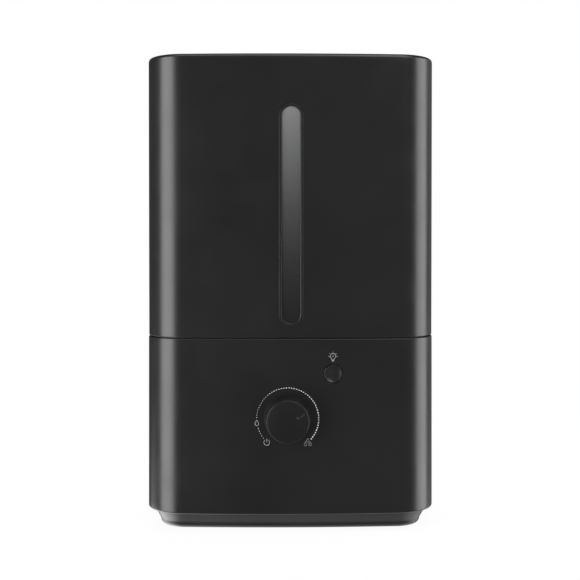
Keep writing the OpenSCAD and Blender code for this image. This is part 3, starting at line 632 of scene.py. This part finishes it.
def tank_shell():
    """The tank's wall: outer skin with draft, round rim, upright inner skin, and the window's slot.

    At height h the skin stands in at the sides by DRAFT times the share of the way down
    from the rim's arc.
    """
    reach, margin, chamfer, lip_cut = 12.5, 3.5, 0.5, 0.2
    fine = np.linspace(WINDOW_X - reach, WINDOW_X + reach, 21)
    front = np.concatenate([np.linspace(-RUN_X, -16, 9), fine, np.linspace(17, RUN_X, 9)]) / RUN_X
    back, side = np.linspace(-1, 1, 25), np.linspace(-1, 1, 9)
    top, foot = RIM_Z - RIM_R, SEAM_Z + chamfer
    low = WINDOW_Z - WINDOW_HALF - WINDOW_R - margin
    high = WINDOW_Z + WINDOW_HALF + WINDOW_R + margin
    z = np.concatenate([[foot, (foot + low) / 2], np.linspace(low, high, 77),
                        np.arange(286, 305, 6), [top]])

    def draft(h):
        return DRAFT * (top - h) / (top - foot)

    outer = [(draft(foot) + chamfer, chamfer, SEAM_Z)] + [(draft(h), 0, h) for h in z]
    rim = even(inset_arc(RIM_R, top, RIM_R, 0, 90, 8))[1:]
    lip = even([(TANK_WALL - lip_cut, RIM_Z), (TANK_WALL, RIM_Z - lip_cut)])
    inner = even([(TANK_WALL, h) for h in [*z[::-1], SEAM_Z]])
    levels = outer + rim + lip + inner
    shell = Shell()
    ids = shell.add(carried(levels, front, back, side))
    columns = near(front * RUN_X, fine[0]), near(front * RUN_X, fine[-1])
    last = len(levels) - 2
    outside = (1 + near(z, low), 1 + near(z, high), *columns)
    inside = (last - near(z, high), last - near(z, low), *columns)
    shell.cells(ids, rows_close=True, cols_close=True, holes=[outside, inside])
    opening(shell, patch(ids, outside), patch(ids, inside)[::-1], (WINDOW_X, WINDOW_Z),
            WINDOW_HALF, rolled(WINDOW_R, 0.3, TANK_WALL), wall(0, -1), (0, 2))
    return shell


def window_frame():
    """The dark frame: a low profile with round edges carried round the slot."""
    face, back = FRAME_LOW[1], FRAME_HIGH[1]
    outer, inner, outer_roll, inner_roll = WINDOW_R - 0.05, 6.07, 0.25, 0.45
    profile = [(outer, back)]
    profile += front_arc(outer - outer_roll, face + outer_roll, outer_roll, 0, 90)
    profile += front_arc(inner + inner_roll, face + inner_roll, inner_roll, 90, 180)
    profile += [(inner, back)]
    shell = Shell()
    ids = fronted(shell, profile, slot_angles(40), WINDOW_X, WINDOW_Z, WINDOW_HALF)
    shell.cells(ids, rows_close=True, cols_close=True)
    return shell


def level_window():
    """The clear strip: a flat face with a rolled edge, its wall, and the flange in the tank."""
    sunk, strip_r, roll, flange_r, flange_t = 0.7, 6.05, 0.2, 9.8, 2.0
    face = FRAME_LOW[1] + sunk
    behind = -HALF_D + TANK_WALL + 0.1
    profile = [(0.0, face), (2.5, face), (4.9, face)]
    profile += front_arc(strip_r - roll, face + roll, roll, 90, 0)
    profile += [(strip_r, behind), (flange_r, behind)]
    profile += [(r, behind + flange_t) for r in (flange_r, 5.0, 0.0)]
    shell = Shell()
    ids = fronted(shell, profile, slot_angles(40), WINDOW_X, WINDOW_Z, WINDOW_HALF)
    shell.cells(ids, cols_close=True)
    return shell


piece("tank_wall", tank_shell(), "tank", "shell_black", "tank_shell")
piece("window_trim", window_frame(), "tank", "trim_black", "window_frame")
piece("level_strip", level_window(), "tank", "smoke_clear", "level_window")


# ===== base =====

VENT_X = [22 + 6 * k for k in range(7)]
VENT_Z, VENT_R, VENT_HALF = 62, 1.2, 11.8
KNOB_BORE, BUTTON_BORE, INLET_BORE = 3.6, 6.25, 5.5


def screw_post(shell, x, z):
    """A post behind the front panel, from inside its wall back to the control board."""
    root, tip, end = -HALF_D + BASE_INSET + BASE_WALL - 0.4, -61, -67
    post_r, bore_r = 3, 1.1
    post = fronted(shell, [(post_r, root), (post_r, tip), (bore_r, tip), (bore_r, end)],
                   circle(24), x, z)
    shell.cells(post, cols_close=True)
    shell.cap(post[0])
    shell.cap(post[-1])


def base_housing():
    """The housing: two skins with a round lower edge, a floor rim, a ledge, posts and openings."""
    knob_reach, button_reach, inlet_reach, vent_reach = 8, 9.5, 9, 3
    low_r, top_r, lip_cut, floor_rim, floor_top = 1.4, 0.6, 0.3, 9, FOOT_H + 3
    knob = np.linspace(KNOB_X - knob_reach, KNOB_X + knob_reach, 9)
    button = np.linspace(BUTTON_X - button_reach, BUTTON_X + button_reach, 13)
    # the columns and the rows pass through the edges of each patch that is cut out
    front_x = np.concatenate([np.linspace(-RUN_X, -18, 8), knob, [12.5], button,
                              [45, 54, 62.5, RUN_X]])
    vents = np.linspace(VENT_X[0] - vent_reach, VENT_X[-1] + vent_reach, 29)
    socket = np.linspace(-inlet_reach, inlet_reach, 11)
    back_x = np.concatenate([[-RUN_X, -66], -vents[::-1], [-14], socket, [14], vents,
                             [66, RUN_X]])
    front, back, side = front_x / RUN_X, back_x / RUN_X, np.linspace(-1, 1, 9)
    z = np.concatenate([[FOOT_H + low_r, 17], np.arange(20, 41, 2), [43], np.arange(46, 85, 2),
                        [88], np.arange(92, 113, 2), [116, 120, BASE_TOP - top_r]])
    inner = BASE_INSET + BASE_WALL
    floor = [(floor_rim, floor_top), (floor_rim, FOOT_H)]
    edge = inset_arc(BASE_INSET + low_r, FOOT_H + low_r, low_r, -90, 0, 6)[:-1]
    outer = [(BASE_INSET, h) for h in z]
    top = inset_arc(BASE_INSET + top_r, BASE_TOP - top_r, top_r, 0, 90, 4)[1:]
    lip = [(inner - lip_cut, BASE_TOP), (inner, BASE_TOP - lip_cut)]
    inside = [(inner, h) for h in [*z[::-1], floor_top]]
    shell = Shell()
    levels = even(floor + edge + outer + top + lip + inside)
    ids = shell.add(carried(levels, front, back, side))

    # side, x, z, half width and end rows of the patch, profile, half length of the slot
    jobs = [
        (-1, KNOB_X, KNOB_Z, knob_reach, 66, 84, rolled(KNOB_BORE, 0.3, BASE_WALL), 0),
        (-1, BUTTON_X, BUTTON_Z, button_reach, 92, 112, rolled(BUTTON_BORE, 0.35, BASE_WALL), 0),
        (1, 0, INLET_Z, inlet_reach, 20, 40, rolled(INLET_BORE, 0.2, BASE_WALL), 0),
    ]
    jobs += [(1, sign * x, VENT_Z, vent_reach, 46, 78, rolled(VENT_R, 0.3, BASE_WALL), VENT_HALF)
             for sign in (-1, 1) for x in VENT_X]
    first_outer = len(floor) + len(edge)
    last_inner = len(levels) - 2
    first_back = len(front) + 2 * (CORNER_STEPS - 1) + len(side)
    holes, cuts = [], []
    for sign, x, mid, reach, low, high, profile, half in jobs:
        r0, r1 = near(z, low), near(z, high)
        if sign < 0:
            columns = near(front_x, x - reach), near(front_x, x + reach)
        else:
            columns = [first_back + near(back_x[::-1], end) for end in (x + reach, x - reach)]
        outside = (first_outer + r0, first_outer + r1, *columns)
        within = (last_inner - r1, last_inner - r0, *columns)
        holes += [outside, within]
        cuts.append((patch(ids, outside), patch(ids, within)[::-1], (x, mid), half, profile,
                     wall(BASE_INSET, sign), (0, 2)))
    shell.cells(ids, rows_close=True, cols_close=True, holes=holes)
    for cut in cuts:
        opening(shell, *cut)

    ledge_out, ledge_in, ledge_low, ledge_high = inner - 0.1, 6.6, BASE_TOP - 9.5, BASE_TOP - 6.5
    band(shell, [(ledge_out, ledge_low), (ledge_in, ledge_low), (ledge_in, ledge_high),
                 (ledge_out, ledge_high)], front, back, side)
    for x in (-18, 38):
        for h in (64, 108):
            screw_post(shell, x, h)
    return shell


def foot_plinth():
    """The foot: a tapered skin with a round lower edge, a ring groove, and a floor with slots."""
    plate, lip, lip_drop, low_r, wall_in = 2.5, 4.55, 0.5, 3.4, 11.1
    slope_end, slope_end_z, ring_in, ring_out, ring_deep = 8.5, 4.4, 18.9, 13.9, 1.5
    slot_y, slot_half, slot_r, slot_reach, slot_low, slot_high = 19, 16.5, 1.5, 2.5, -1.5, 39.5
    screw_x, front_screw_y, rear_screw_y = 68, -36, 48
    low, floor, rooted = FOOT_BOTTOM, FOOT_BOTTOM + plate, FOOT_BOTTOM + plate - 0.3
    slots = [-66 + 5 * k for k in range(9)]
    # the columns and the rows pass through the edges of each patch that is cut out
    fine = np.linspace(slots[0] - slot_reach, slots[-1] + slot_reach, 37)
    front_x = np.concatenate([[-RUN_X], fine, np.arange(-16, 57, 8), [62, 65, 68, RUN_X]])
    rows = np.concatenate([[-RUN_Y, -46, -41.2, -38.6, -36, -33.4, -30.8, -24, -16, -8],
                           np.linspace(slot_low, slot_high, 17), [42.6, 45.4, 48, RUN_Y]])
    front, side = front_x / RUN_X, rows / RUN_Y
    lip_z = FOOT_H - lip_drop
    flat = [(ring_in, floor), (wall_in, floor), (wall_in, FOOT_H), (lip - 0.05, FOOT_H),
            (lip - 0.1, FOOT_H - 0.05), (lip, lip_z)]
    flat += [(lip + (slope_end - lip) * t, lip_z + (slope_end_z - lip_z) * t)
             for t in np.linspace(0, 1, 6)[1:]]
    flat += inset_arc(slope_end + low_r, low + low_r, low_r, 0, -90, 8)[1:]
    flat += [(ring_out, low), (ring_out, low + ring_deep), (ring_in, low + ring_deep),
             (ring_in, low)]
    shell = Shell()
    ids = shell.add(carried(even(flat), front, front, side))
    shell.cells(ids, cols_close=True)
    under, xs, ys = sheet(front, side, 2.2, low)
    above = under + np.array([0, 0, plate])
    under, above = shell.add(under), shell.add(above)
    shell.bridge(ids[-1], sheet_border(under))
    shell.bridge(ids[0], sheet_border(above))

    def place(u, v, w):
        return np.stack([u, v, low + w + 0 * u], -1)

    def box(x0, x1, y0, y1):
        return near(ys, y0), near(ys, y1), near(xs, x0), near(xs, x1)

    slot_boxes = [box(x - slot_reach, x + slot_reach, slot_low, slot_high) for x in slots]
    cuts = [(cut, True, (x, slot_y), slot_half, rolled(slot_r, 0.3, plate, 3))
            for cut, x in zip(slot_boxes, slots)]
    for x, x0, x1 in ((-screw_x, -74, -62.2), (screw_x, 62, 74)):
        for y, y0, y1 in ((front_screw_y, -41.2, -30.8), (rear_screw_y, 42.6, 54)):
            cuts.append((box(x0, x1, y0, y1), False, (x, y), 0, rolled(4, 0.3, 5)))
    shell.cells(under, holes=[cut[0] for cut in cuts])
    shell.cells(above, holes=slot_boxes)
    for cut, through, centre, half, profile in cuts:
        inner = patch(above, cut) if through else None
        opening(shell, patch(under, cut), inner, centre, half, profile, place, (0, 1))
    # over each screw pocket a collar and its bored post, and between them the board's posts
    for x in (-screw_x, screw_x):
        for y in (front_screw_y, rear_screw_y):
            tube(shell, x, y, 6, 4.2, rooted, 6.3)
            tube(shell, x, y, 6, 1.8, 6.0, 16)
    for x in (-14, 44):
        for y in (-26, 38):
            tube(shell, x, y, 3, 1.1, rooted, 20)
    return shell


def ring_foot():
    """The rubber ring: a section with round lower edges carried round the footprint."""
    outer, inner, top, roll = 13.95, 18.85, RING_TOP - 0.02, 0.8
    section = [(outer, top)] + inset_arc(outer + roll, roll, roll, 0, -90, 4)
    section += inset_arc(inner - roll, roll, roll, -90, -180, 4) + [(inner, top)]
    shell = Shell()
    straight = np.linspace(-1, 1, 17)
    band(shell, section, straight, straight, straight)
    return shell


piece("base_shell", base_housing(), "base", "shell_black", "base_housing")
piece("foot", foot_plinth(), "base", "foot_grey", "foot_plinth")
piece("rubber_ring", ring_foot(), "base", "black_rubber", "ring_foot")


# ===== knob and button =====

POINTER = math.radians(27)
CROWN = 1.15


def mist_knob():
    """The knob: a crowned face with the pointer's groove, a tapered skirt, a hollow back, a hub.

    The face falls back by CROWN times the square of (radius over the face's radius). The
    groove adds its depth times s squared times (3 less 2 s), where s is one less the
    distance from the pointer's line over the groove's half width, and never below 0.
    """
    face, back = KNOB_LOW[1], KNOB_HIGH[1]
    top_r, base_r, roll = 13.6, 15.4, 0.4
    line_from, line_to, groove_half, groove_depth = 7.2, 10.7, 1.3, 0.5
    hollow, hollow_r, hub, hub_r, bore_r = face + 3, 11.9, back - 1, 5.2, 3.02
    bearing = np.radians(np.concatenate([np.linspace(-14, 14, 41), np.linspace(18, 342, 82)]))
    rings = np.concatenate([[0.0, 3.0, 5.0], np.linspace(5.6, top_r - roll, 46)])
    r, a = np.meshgrid(rings, bearing, indexing="ij")
    along, across = r * np.cos(a), r * np.sin(a)
    gap = np.hypot(along - np.clip(along, line_from, line_to), across)
    s = np.clip(1 - gap / groove_half, 0, 1)
    y = face + CROWN * (r / (top_r - roll)) ** 2 + groove_depth * s * s * (3 - 2 * s)
    angles = POINTER + bearing

    def ring(r, y):
        return np.stack([KNOB_X + r * np.cos(angles), y + 0 * angles, KNOB_Z + r * np.sin(angles)],
                        -1)

    profile = front_arc(top_r - roll - 0.03, face + CROWN + roll, roll, 78, 6, 8)
    profile += [(14.5, back - 5), (15.0, back - 1.6), (base_r - 0.12, back - 0.4),
                (base_r, back - 0.1), (base_r - 0.3, back), (base_r - 2, back),
                (hollow_r, hollow), (hub_r, hollow), (hub_r, hub), (bore_r, hub),
                (bore_r, hollow), (0.0, hollow)]
    shell = Shell()
    ids = shell.add(np.array([ring(*pair) for pair in [*zip(r, y), *profile]]))
    shell.cells(ids, cols_close=True)
    return shell


def night_light_button():
    """The button: a dished face inside a round rim, its wall, its flange in the panel, its stem.

    The dish is part of a sphere: it lies behind the face by the root of (dish_r squared
    less radius squared), less the same root at the rim.
    """
    face, stem = BUTTON_LOW[1], BUTTON_HIGH[1]
    cap_r, rim_r, roll, dish_r, sunk = 5.8, 5.58, 0.12, 15.5, 0.02
    flange_r, flange_t, stem_r = 7.2, 1, 1.7
    flange = -HALF_D + BASE_INSET + BASE_WALL + 0.75
    rise = math.sqrt(dish_r ** 2 - rim_r ** 2)
    profile = [(r, face + sunk + math.sqrt(dish_r ** 2 - r * r) - rise)
               for r in np.linspace(0, rim_r, 15)]
    profile += front_arc(cap_r - roll, face + roll, roll, 90, 0, 6)
    profile += [(cap_r, flange), (flange_r, flange), (flange_r, flange + flange_t),
                (stem_r, flange + flange_t), (stem_r, stem), (0.0, stem)]
    shell = Shell()
    ids = fronted(shell, profile, circle(72), BUTTON_X, BUTTON_Z)
    shell.cells(ids, cols_close=True)
    return shell


piece("knob_cap", mist_knob(), "knob", "knob_black", "mist_knob")
piece("button_cap", night_light_button(), "button", "button_black", "night_light_button")


# ===== print on the panel =====

DIAL_R, DIAL_Z = 20.0, KNOB_Z - 0.2
LIFT, SINK = 0.035, 0.05
LINE = 0.34


def on_panel(x, z, lift):
    """A point on the housing's front skin, lifted off it."""
    return np.stack([x, -(HALF_D - BASE_INSET) * bowed(x) - lift, z], -1)


def stroke(shell, path, width, closed=False):
    """A printed line: a low box section along a path of (x, z), its sides square to the path."""
    p = np.asarray(path, float)
    step = np.roll(p, -1, 0) - np.roll(p, 1, 0) if closed else np.gradient(p, axis=0)
    step /= np.linalg.norm(step, axis=1)[:, None]
    out = np.stack([-step[:, 1], step[:, 0]], -1) * width / 2
    section = ((-1, LIFT), (1, LIFT), (1, -SINK), (-1, -SINK))
    ids = shell.add(np.array([on_panel(*(p + s * out).T, lift) for s, lift in section]))
    shell.cells(ids, rows_close=True, cols_close=closed)
    if not closed:
        shell.cap(ids[:, 0])
        shell.cap(ids[:, -1])


def arc(x, z, r, start, stop, n):
    """Points on an arc about (x, z) between two angles in radians."""
    a = np.linspace(start, stop, n)
    return np.stack([x + r * np.cos(a), z + r * np.sin(a)], -1)


def drop(x, z, r, tip):
    """Outline of a drop: an arc that runs into two straight lines to a tip above it.

    The lines touch the arc where it leans by the arcsine of (radius over tip height).
    """
    lean = math.asin(r / tip)
    bowl = arc(x, z, r, lean, -math.pi - lean, 27)
    top = np.array([[x, z + tip]])
    left = bowl[-1] + (top - bowl[-1]) * np.array([[0.33], [0.66]])
    right = bowl[0] + (top - bowl[0]) * np.array([[0.66], [0.33]])
    return np.vstack([bowl, left, top, right])


def dial_dots():
    """The dotted scale: small round dots on an arc, larger towards full mist.

    A dot's radius is 0.09 plus 0.32 times its share of the first angle, and no less than 0.19.
    """
    first, least, smallest, growth = 218.0, 0.19, 0.09, 0.32
    main = np.linspace(177.6, -40.5, 47)
    start = np.linspace(first, 198.1, 5)
    angle = np.radians(np.concatenate([start, main]))
    share = np.clip((math.radians(first) - angle) / math.radians(first), 0, 1)
    radius = np.maximum(least, smallest + growth * share)
    a = circle(16)
    x = (KNOB_X + DIAL_R * np.cos(angle))[:, None] + radius[:, None] * np.cos(a)
    z = (DIAL_Z + DIAL_R * np.sin(angle))[:, None] + radius[:, None] * np.sin(a)
    shell = Shell()
    top, low = shell.add(on_panel(x, z, LIFT)), shell.add(on_panel(x, z, -SINK))
    for one, other in zip(top, low):
        shell.bridge(one, other)
        shell.cap(one)
        shell.cap(other)
    return shell


def dial_icons():
    """A power sign at off, one drop where the mist starts, three drops where it is full."""
    shell = Shell()
    x, z = KNOB_X - 13.5, DIAL_Z - 15.2
    stroke(shell, arc(x, z, 1.85, math.radians(128), math.radians(412), 36), LINE)
    stroke(shell, [(x, z + 0.1), (x, z + 1.2), (x, z + 2.35)], LINE)
    stroke(shell, drop(KNOB_X - 19.95, DIAL_Z - 3.2, 1.2, 2.5), LINE, closed=True)
    x = KNOB_X + 12.95
    for dx, dz in ((0, 0.95), (-1.5, -1.4), (1.5, -1.4)):
        stroke(shell, drop(x + dx, z + dz, 0.82, 1.8), 0.22, closed=True)
    return shell


def light_icon():
    """A light bulb with its cap, its filament and five rays."""
    shell = Shell()
    x, z, r = BUTTON_X, BUTTON_Z + 11.4, 1.75

    def about(*offsets):
        return np.array([(x + dx, z + dz) for dx, dz in offsets])

    glass = arc(x, z, r, math.radians(-52), math.radians(232), 40)
    neck = about((-0.85, -1.9), (-0.8, -2.3), (0, -2.35), (0.8, -2.3), (0.85, -1.9))
    stroke(shell, np.vstack([glass, neck]), LINE, closed=True)
    for h in (-2.75, -3.2):
        stroke(shell, about((-0.7, h), (0, h), (0.7, h)), 0.32)
    stroke(shell, about((-0.55, 0.35), (-0.25, -0.5), (0, 0.3), (0.25, -0.5), (0.55, 0.35)), 0.2)
    for degrees in (-4, 38, 90, 142, 184):
        c, s = math.cos(math.radians(degrees)), math.sin(math.radians(degrees))
        stroke(shell, about(*((k * c, k * s) for k in (2.35, 2.65, 2.95))), 0.36)
    return shell


piece("dial_scale", dial_dots(), "base", "white_plastic", finish=DOT_PRINT)
piece("dial_signs", dial_icons(), "base", "white_plastic", finish=SIGN_PRINT)
piece("light_sign", light_icon(), "base", "white_plastic", finish=SIGN_PRINT)


# ===== lid and nozzle =====

def tank_lid():
    """The lid: a plate with a rolled edge, a collar round the nozzle's bore, a skirt, a sleeve."""
    inset, roll, cut, bore_reach, joined = 3.4, 0.6, 0.2, 26, LID_BOTTOM + 0.2
    skirt_out, skirt_in, skirt_cut, skirt_low = 7.4, 9.4, 0.3, SLEEVE_BOTTOM + 2.5
    bore_low, bore_high = -8, 44
    front_x = np.concatenate([np.linspace(-RUN_X, -32, 6), np.linspace(-bore_reach, bore_reach, 15),
                              np.linspace(32, RUN_X, 6)])
    rows = np.concatenate([np.linspace(-RUN_Y, -14, 6), np.linspace(bore_low, bore_high, 15),
                           [RUN_Y]])
    front, side = front_x / RUN_X, rows / RUN_Y
    edge = [(inset + 2, LID_BOTTOM), (inset + cut, LID_BOTTOM), (inset, LID_BOTTOM + cut)]
    edge += inset_arc(inset + roll, LID_TOP - roll, roll, 0, 90, 4) + [(inset + 4, LID_TOP)]
    shell = Shell()
    ids = shell.add(carried(even(edge), front, front, side))
    shell.cells(ids, cols_close=True)
    top, xs, ys = sheet(front, side, 11, LID_TOP)
    under = top - np.array([0, 0, LID_PLATE])
    top, under = shell.add(top), shell.add(under)
    shell.bridge(ids[-1], sheet_border(top))
    shell.bridge(ids[0], sheet_border(under))
    box = near(ys, bore_low), near(ys, bore_high), near(xs, -bore_reach), near(xs, bore_reach)
    shell.cells(top, holes=[box])
    shell.cells(under, holes=[box])
    collar = [(23.0, 0), (22.7, -0.1), (22.6, -0.4), (22.6, -0.9), (22.3, -1.2), (20.8, -1.2),
              (20.45, -0.9), (20.4, 0), (14.3, 0), (14.05, 0.3), (14.0, LID_PLATE)]

    def place(u, v, w):
        return np.stack([u, v, LID_TOP - w + 0 * u], -1)

    opening(shell, patch(top, box), patch(under, box), (0, CHIMNEY_Y), 0, collar, place, (0, 1))
    band(shell, [(skirt_out, joined), (skirt_out, skirt_low + skirt_cut),
                 (skirt_out + skirt_cut, skirt_low), (skirt_in - skirt_cut, skirt_low),
                 (skirt_in, skirt_low + skirt_cut), (skirt_in, joined)], front, front, side)
    tube(shell, 0, CHIMNEY_Y, 19, 17, SLEEVE_BOTTOM, joined, 64)
    return shell


piece("lid_plate", tank_lid(), "lid", "shell_black", "tank_lid")
softened("lid_ridges", "lid_grips", "lid", "shell_black", 1.2)
softened("nozzle_cap", "mist_nozzle", "nozzle", "trim_black", 0.45)
softened("socket", "power_inlet", "base", "dark_plastic", 0.2)


# ===== floor, light and camera =====

def floor():
    """A large pale floor. The camera sees it near white, with the soft shadow left in."""
    size = 8.0
    mesh = bpy.data.meshes.new("floor")
    edge = [(-size, -size, 0), (size, -size, 0), (size, size, 0), (-size, size, 0)]
    mesh.from_pydata(edge, [], [(0, 1, 2, 3)])
    thing = bpy.data.objects.new("floor", mesh)
    bpy.context.scene.collection.objects.link(thing)
    material = bpy.data.materials.new("pale floor")
    material.use_nodes = True
    tree = material.node_tree
    tree.nodes.clear()
    where = position(tree)
    tone = ranged(tree, noise(tree, where, 6.0, 2.0), 0.3, 0.7, 0.93, 0.96)
    far = maths(tree, "LENGTH", where, kind="VectorMath")
    whitened = ranged(tree, far, 0.25, 0.6, 0.94, 1.0)
    seen = new_node(tree, "LightPath").outputs["Is Camera Ray"]
    mix = new_node(tree, "MixShader", Fac=maths(tree, "MULTIPLY", seen, whitened))
    give(mix.inputs[1], new_node(tree, "BsdfDiffuse", Color=tone).outputs["BSDF"])
    give(mix.inputs[2], new_node(tree, "Emission", Color=(1, 1, 1, 1)).outputs["Emission"])
    new_node(tree, "OutputMaterial", Surface=mix.outputs["Shader"])
    mesh.materials.append(material)
    thing.visible_glossy = False
    thing.visible_shadow = False


def world():
    """Pale surroundings: white to the camera, an even fill, and a quiet studio in the gloss.

    The gloss sees a table below and round glows. A glow grows from nothing to its full
    strength while the cosine of the angle to its middle goes from edge to core.
    """
    fill = 0.35
    glows = [((-0.6, 0.3, -0.74), 0.8, 0.97, 4.5), ((0.6, 0.3, -0.74), 0.8, 0.97, 1.4),
             ((0.394, -0.63, 0.669), 0.89, 1.0, 3.0), ((0.35, -0.9, -0.26), 0.83, 0.97, 0.12)]
    place = bpy.data.worlds.new("studio")
    bpy.context.scene.world = place
    place.use_nodes = True
    tree = place.node_tree
    tree.nodes.clear()
    where = new_node(tree, "TexCoord").outputs["Generated"]
    height = new_node(tree, "SeparateXYZ", Vector=where).outputs["Z"]
    studio = ranged(tree, height, -0.93, -0.72, 0.6, 0.07)
    for middle, edge, core, strength in glows:
        towards = maths(tree, "DOT_PRODUCT", where, middle, kind="VectorMath")
        studio = maths(tree, "ADD", studio, ranged(tree, towards, edge, core, 0.0, strength))
    ray = new_node(tree, "LightPath").outputs
    gloss = maths(tree, "SUBTRACT", studio, fill)
    shiny = maths(tree, "MULTIPLY", ray["Is Glossy Ray"], gloss)
    seen = maths(tree, "MAXIMUM", ray["Is Camera Ray"], ray["Is Transmission Ray"])
    white = maths(tree, "MULTIPLY", seen, 1.0 - fill)
    total = maths(tree, "ADD", maths(tree, "ADD", shiny, white), fill)
    light = new_node(tree, "Background", Color=(1, 1, 1, 1), Strength=total)
    new_node(tree, "OutputWorld", Surface=light.outputs["Background"])


def softbox(name, azimuth, distance, width, height, middle, power):
    """An area light at an angle from straight ahead of the front, turned to face the object.

    azimuth is in degrees, the sizes and places in metres and the power in watts.
    """
    aim = 0.16
    light = bpy.data.lights.new(name, "AREA")
    light.shape = "RECTANGLE"
    light.size, light.size_y = width, height
    light.energy = power
    thing = bpy.data.objects.new(name, light)
    bpy.context.scene.collection.objects.link(thing)
    a = math.radians(azimuth)
    thing.location = (distance * math.sin(a), -distance * math.cos(a), middle)
    tilt = math.atan2(middle - aim, distance)
    thing.rotation_euler = (math.pi / 2 - tilt, 0, a)
    thing.visible_camera = False
    return thing


floor()
world()
softbox("left_softbox", -57.5, 1.0, 0.66, 1.3, 0.16, 16)
softbox("right_softbox", 84, 1.0, 0.66, 1.3, 0.16, 12)
softbox("top_softbox", 0, 0.45, 1.2, 0.8, 1.35, 6.6)
softbox("rear_right_softbox", 130, 1.1, 0.5, 1.3, 0.16, 0.5)
softbox("rear_fill", 180, 1.0, 1.0, 1.0, 0.5, 20).visible_glossy = False

distance, eye_height, yaw = 0.725, 0.192, -0.013
camera = bpy.data.cameras.new("camera")
camera.sensor_width = 36
camera.lens = 62.51
camera.shift_x = 0.0007
camera.shift_y = -0.0924
eye = bpy.data.objects.new("camera", camera)
eye.location = (distance * math.sin(yaw), -distance * math.cos(yaw), eye_height)
eye.rotation_euler = (math.pi / 2, 0, yaw)
bpy.context.scene.collection.objects.link(eye)
bpy.context.scene.camera = eye
bpy.context.scene.view_settings.view_transform = "Standard"
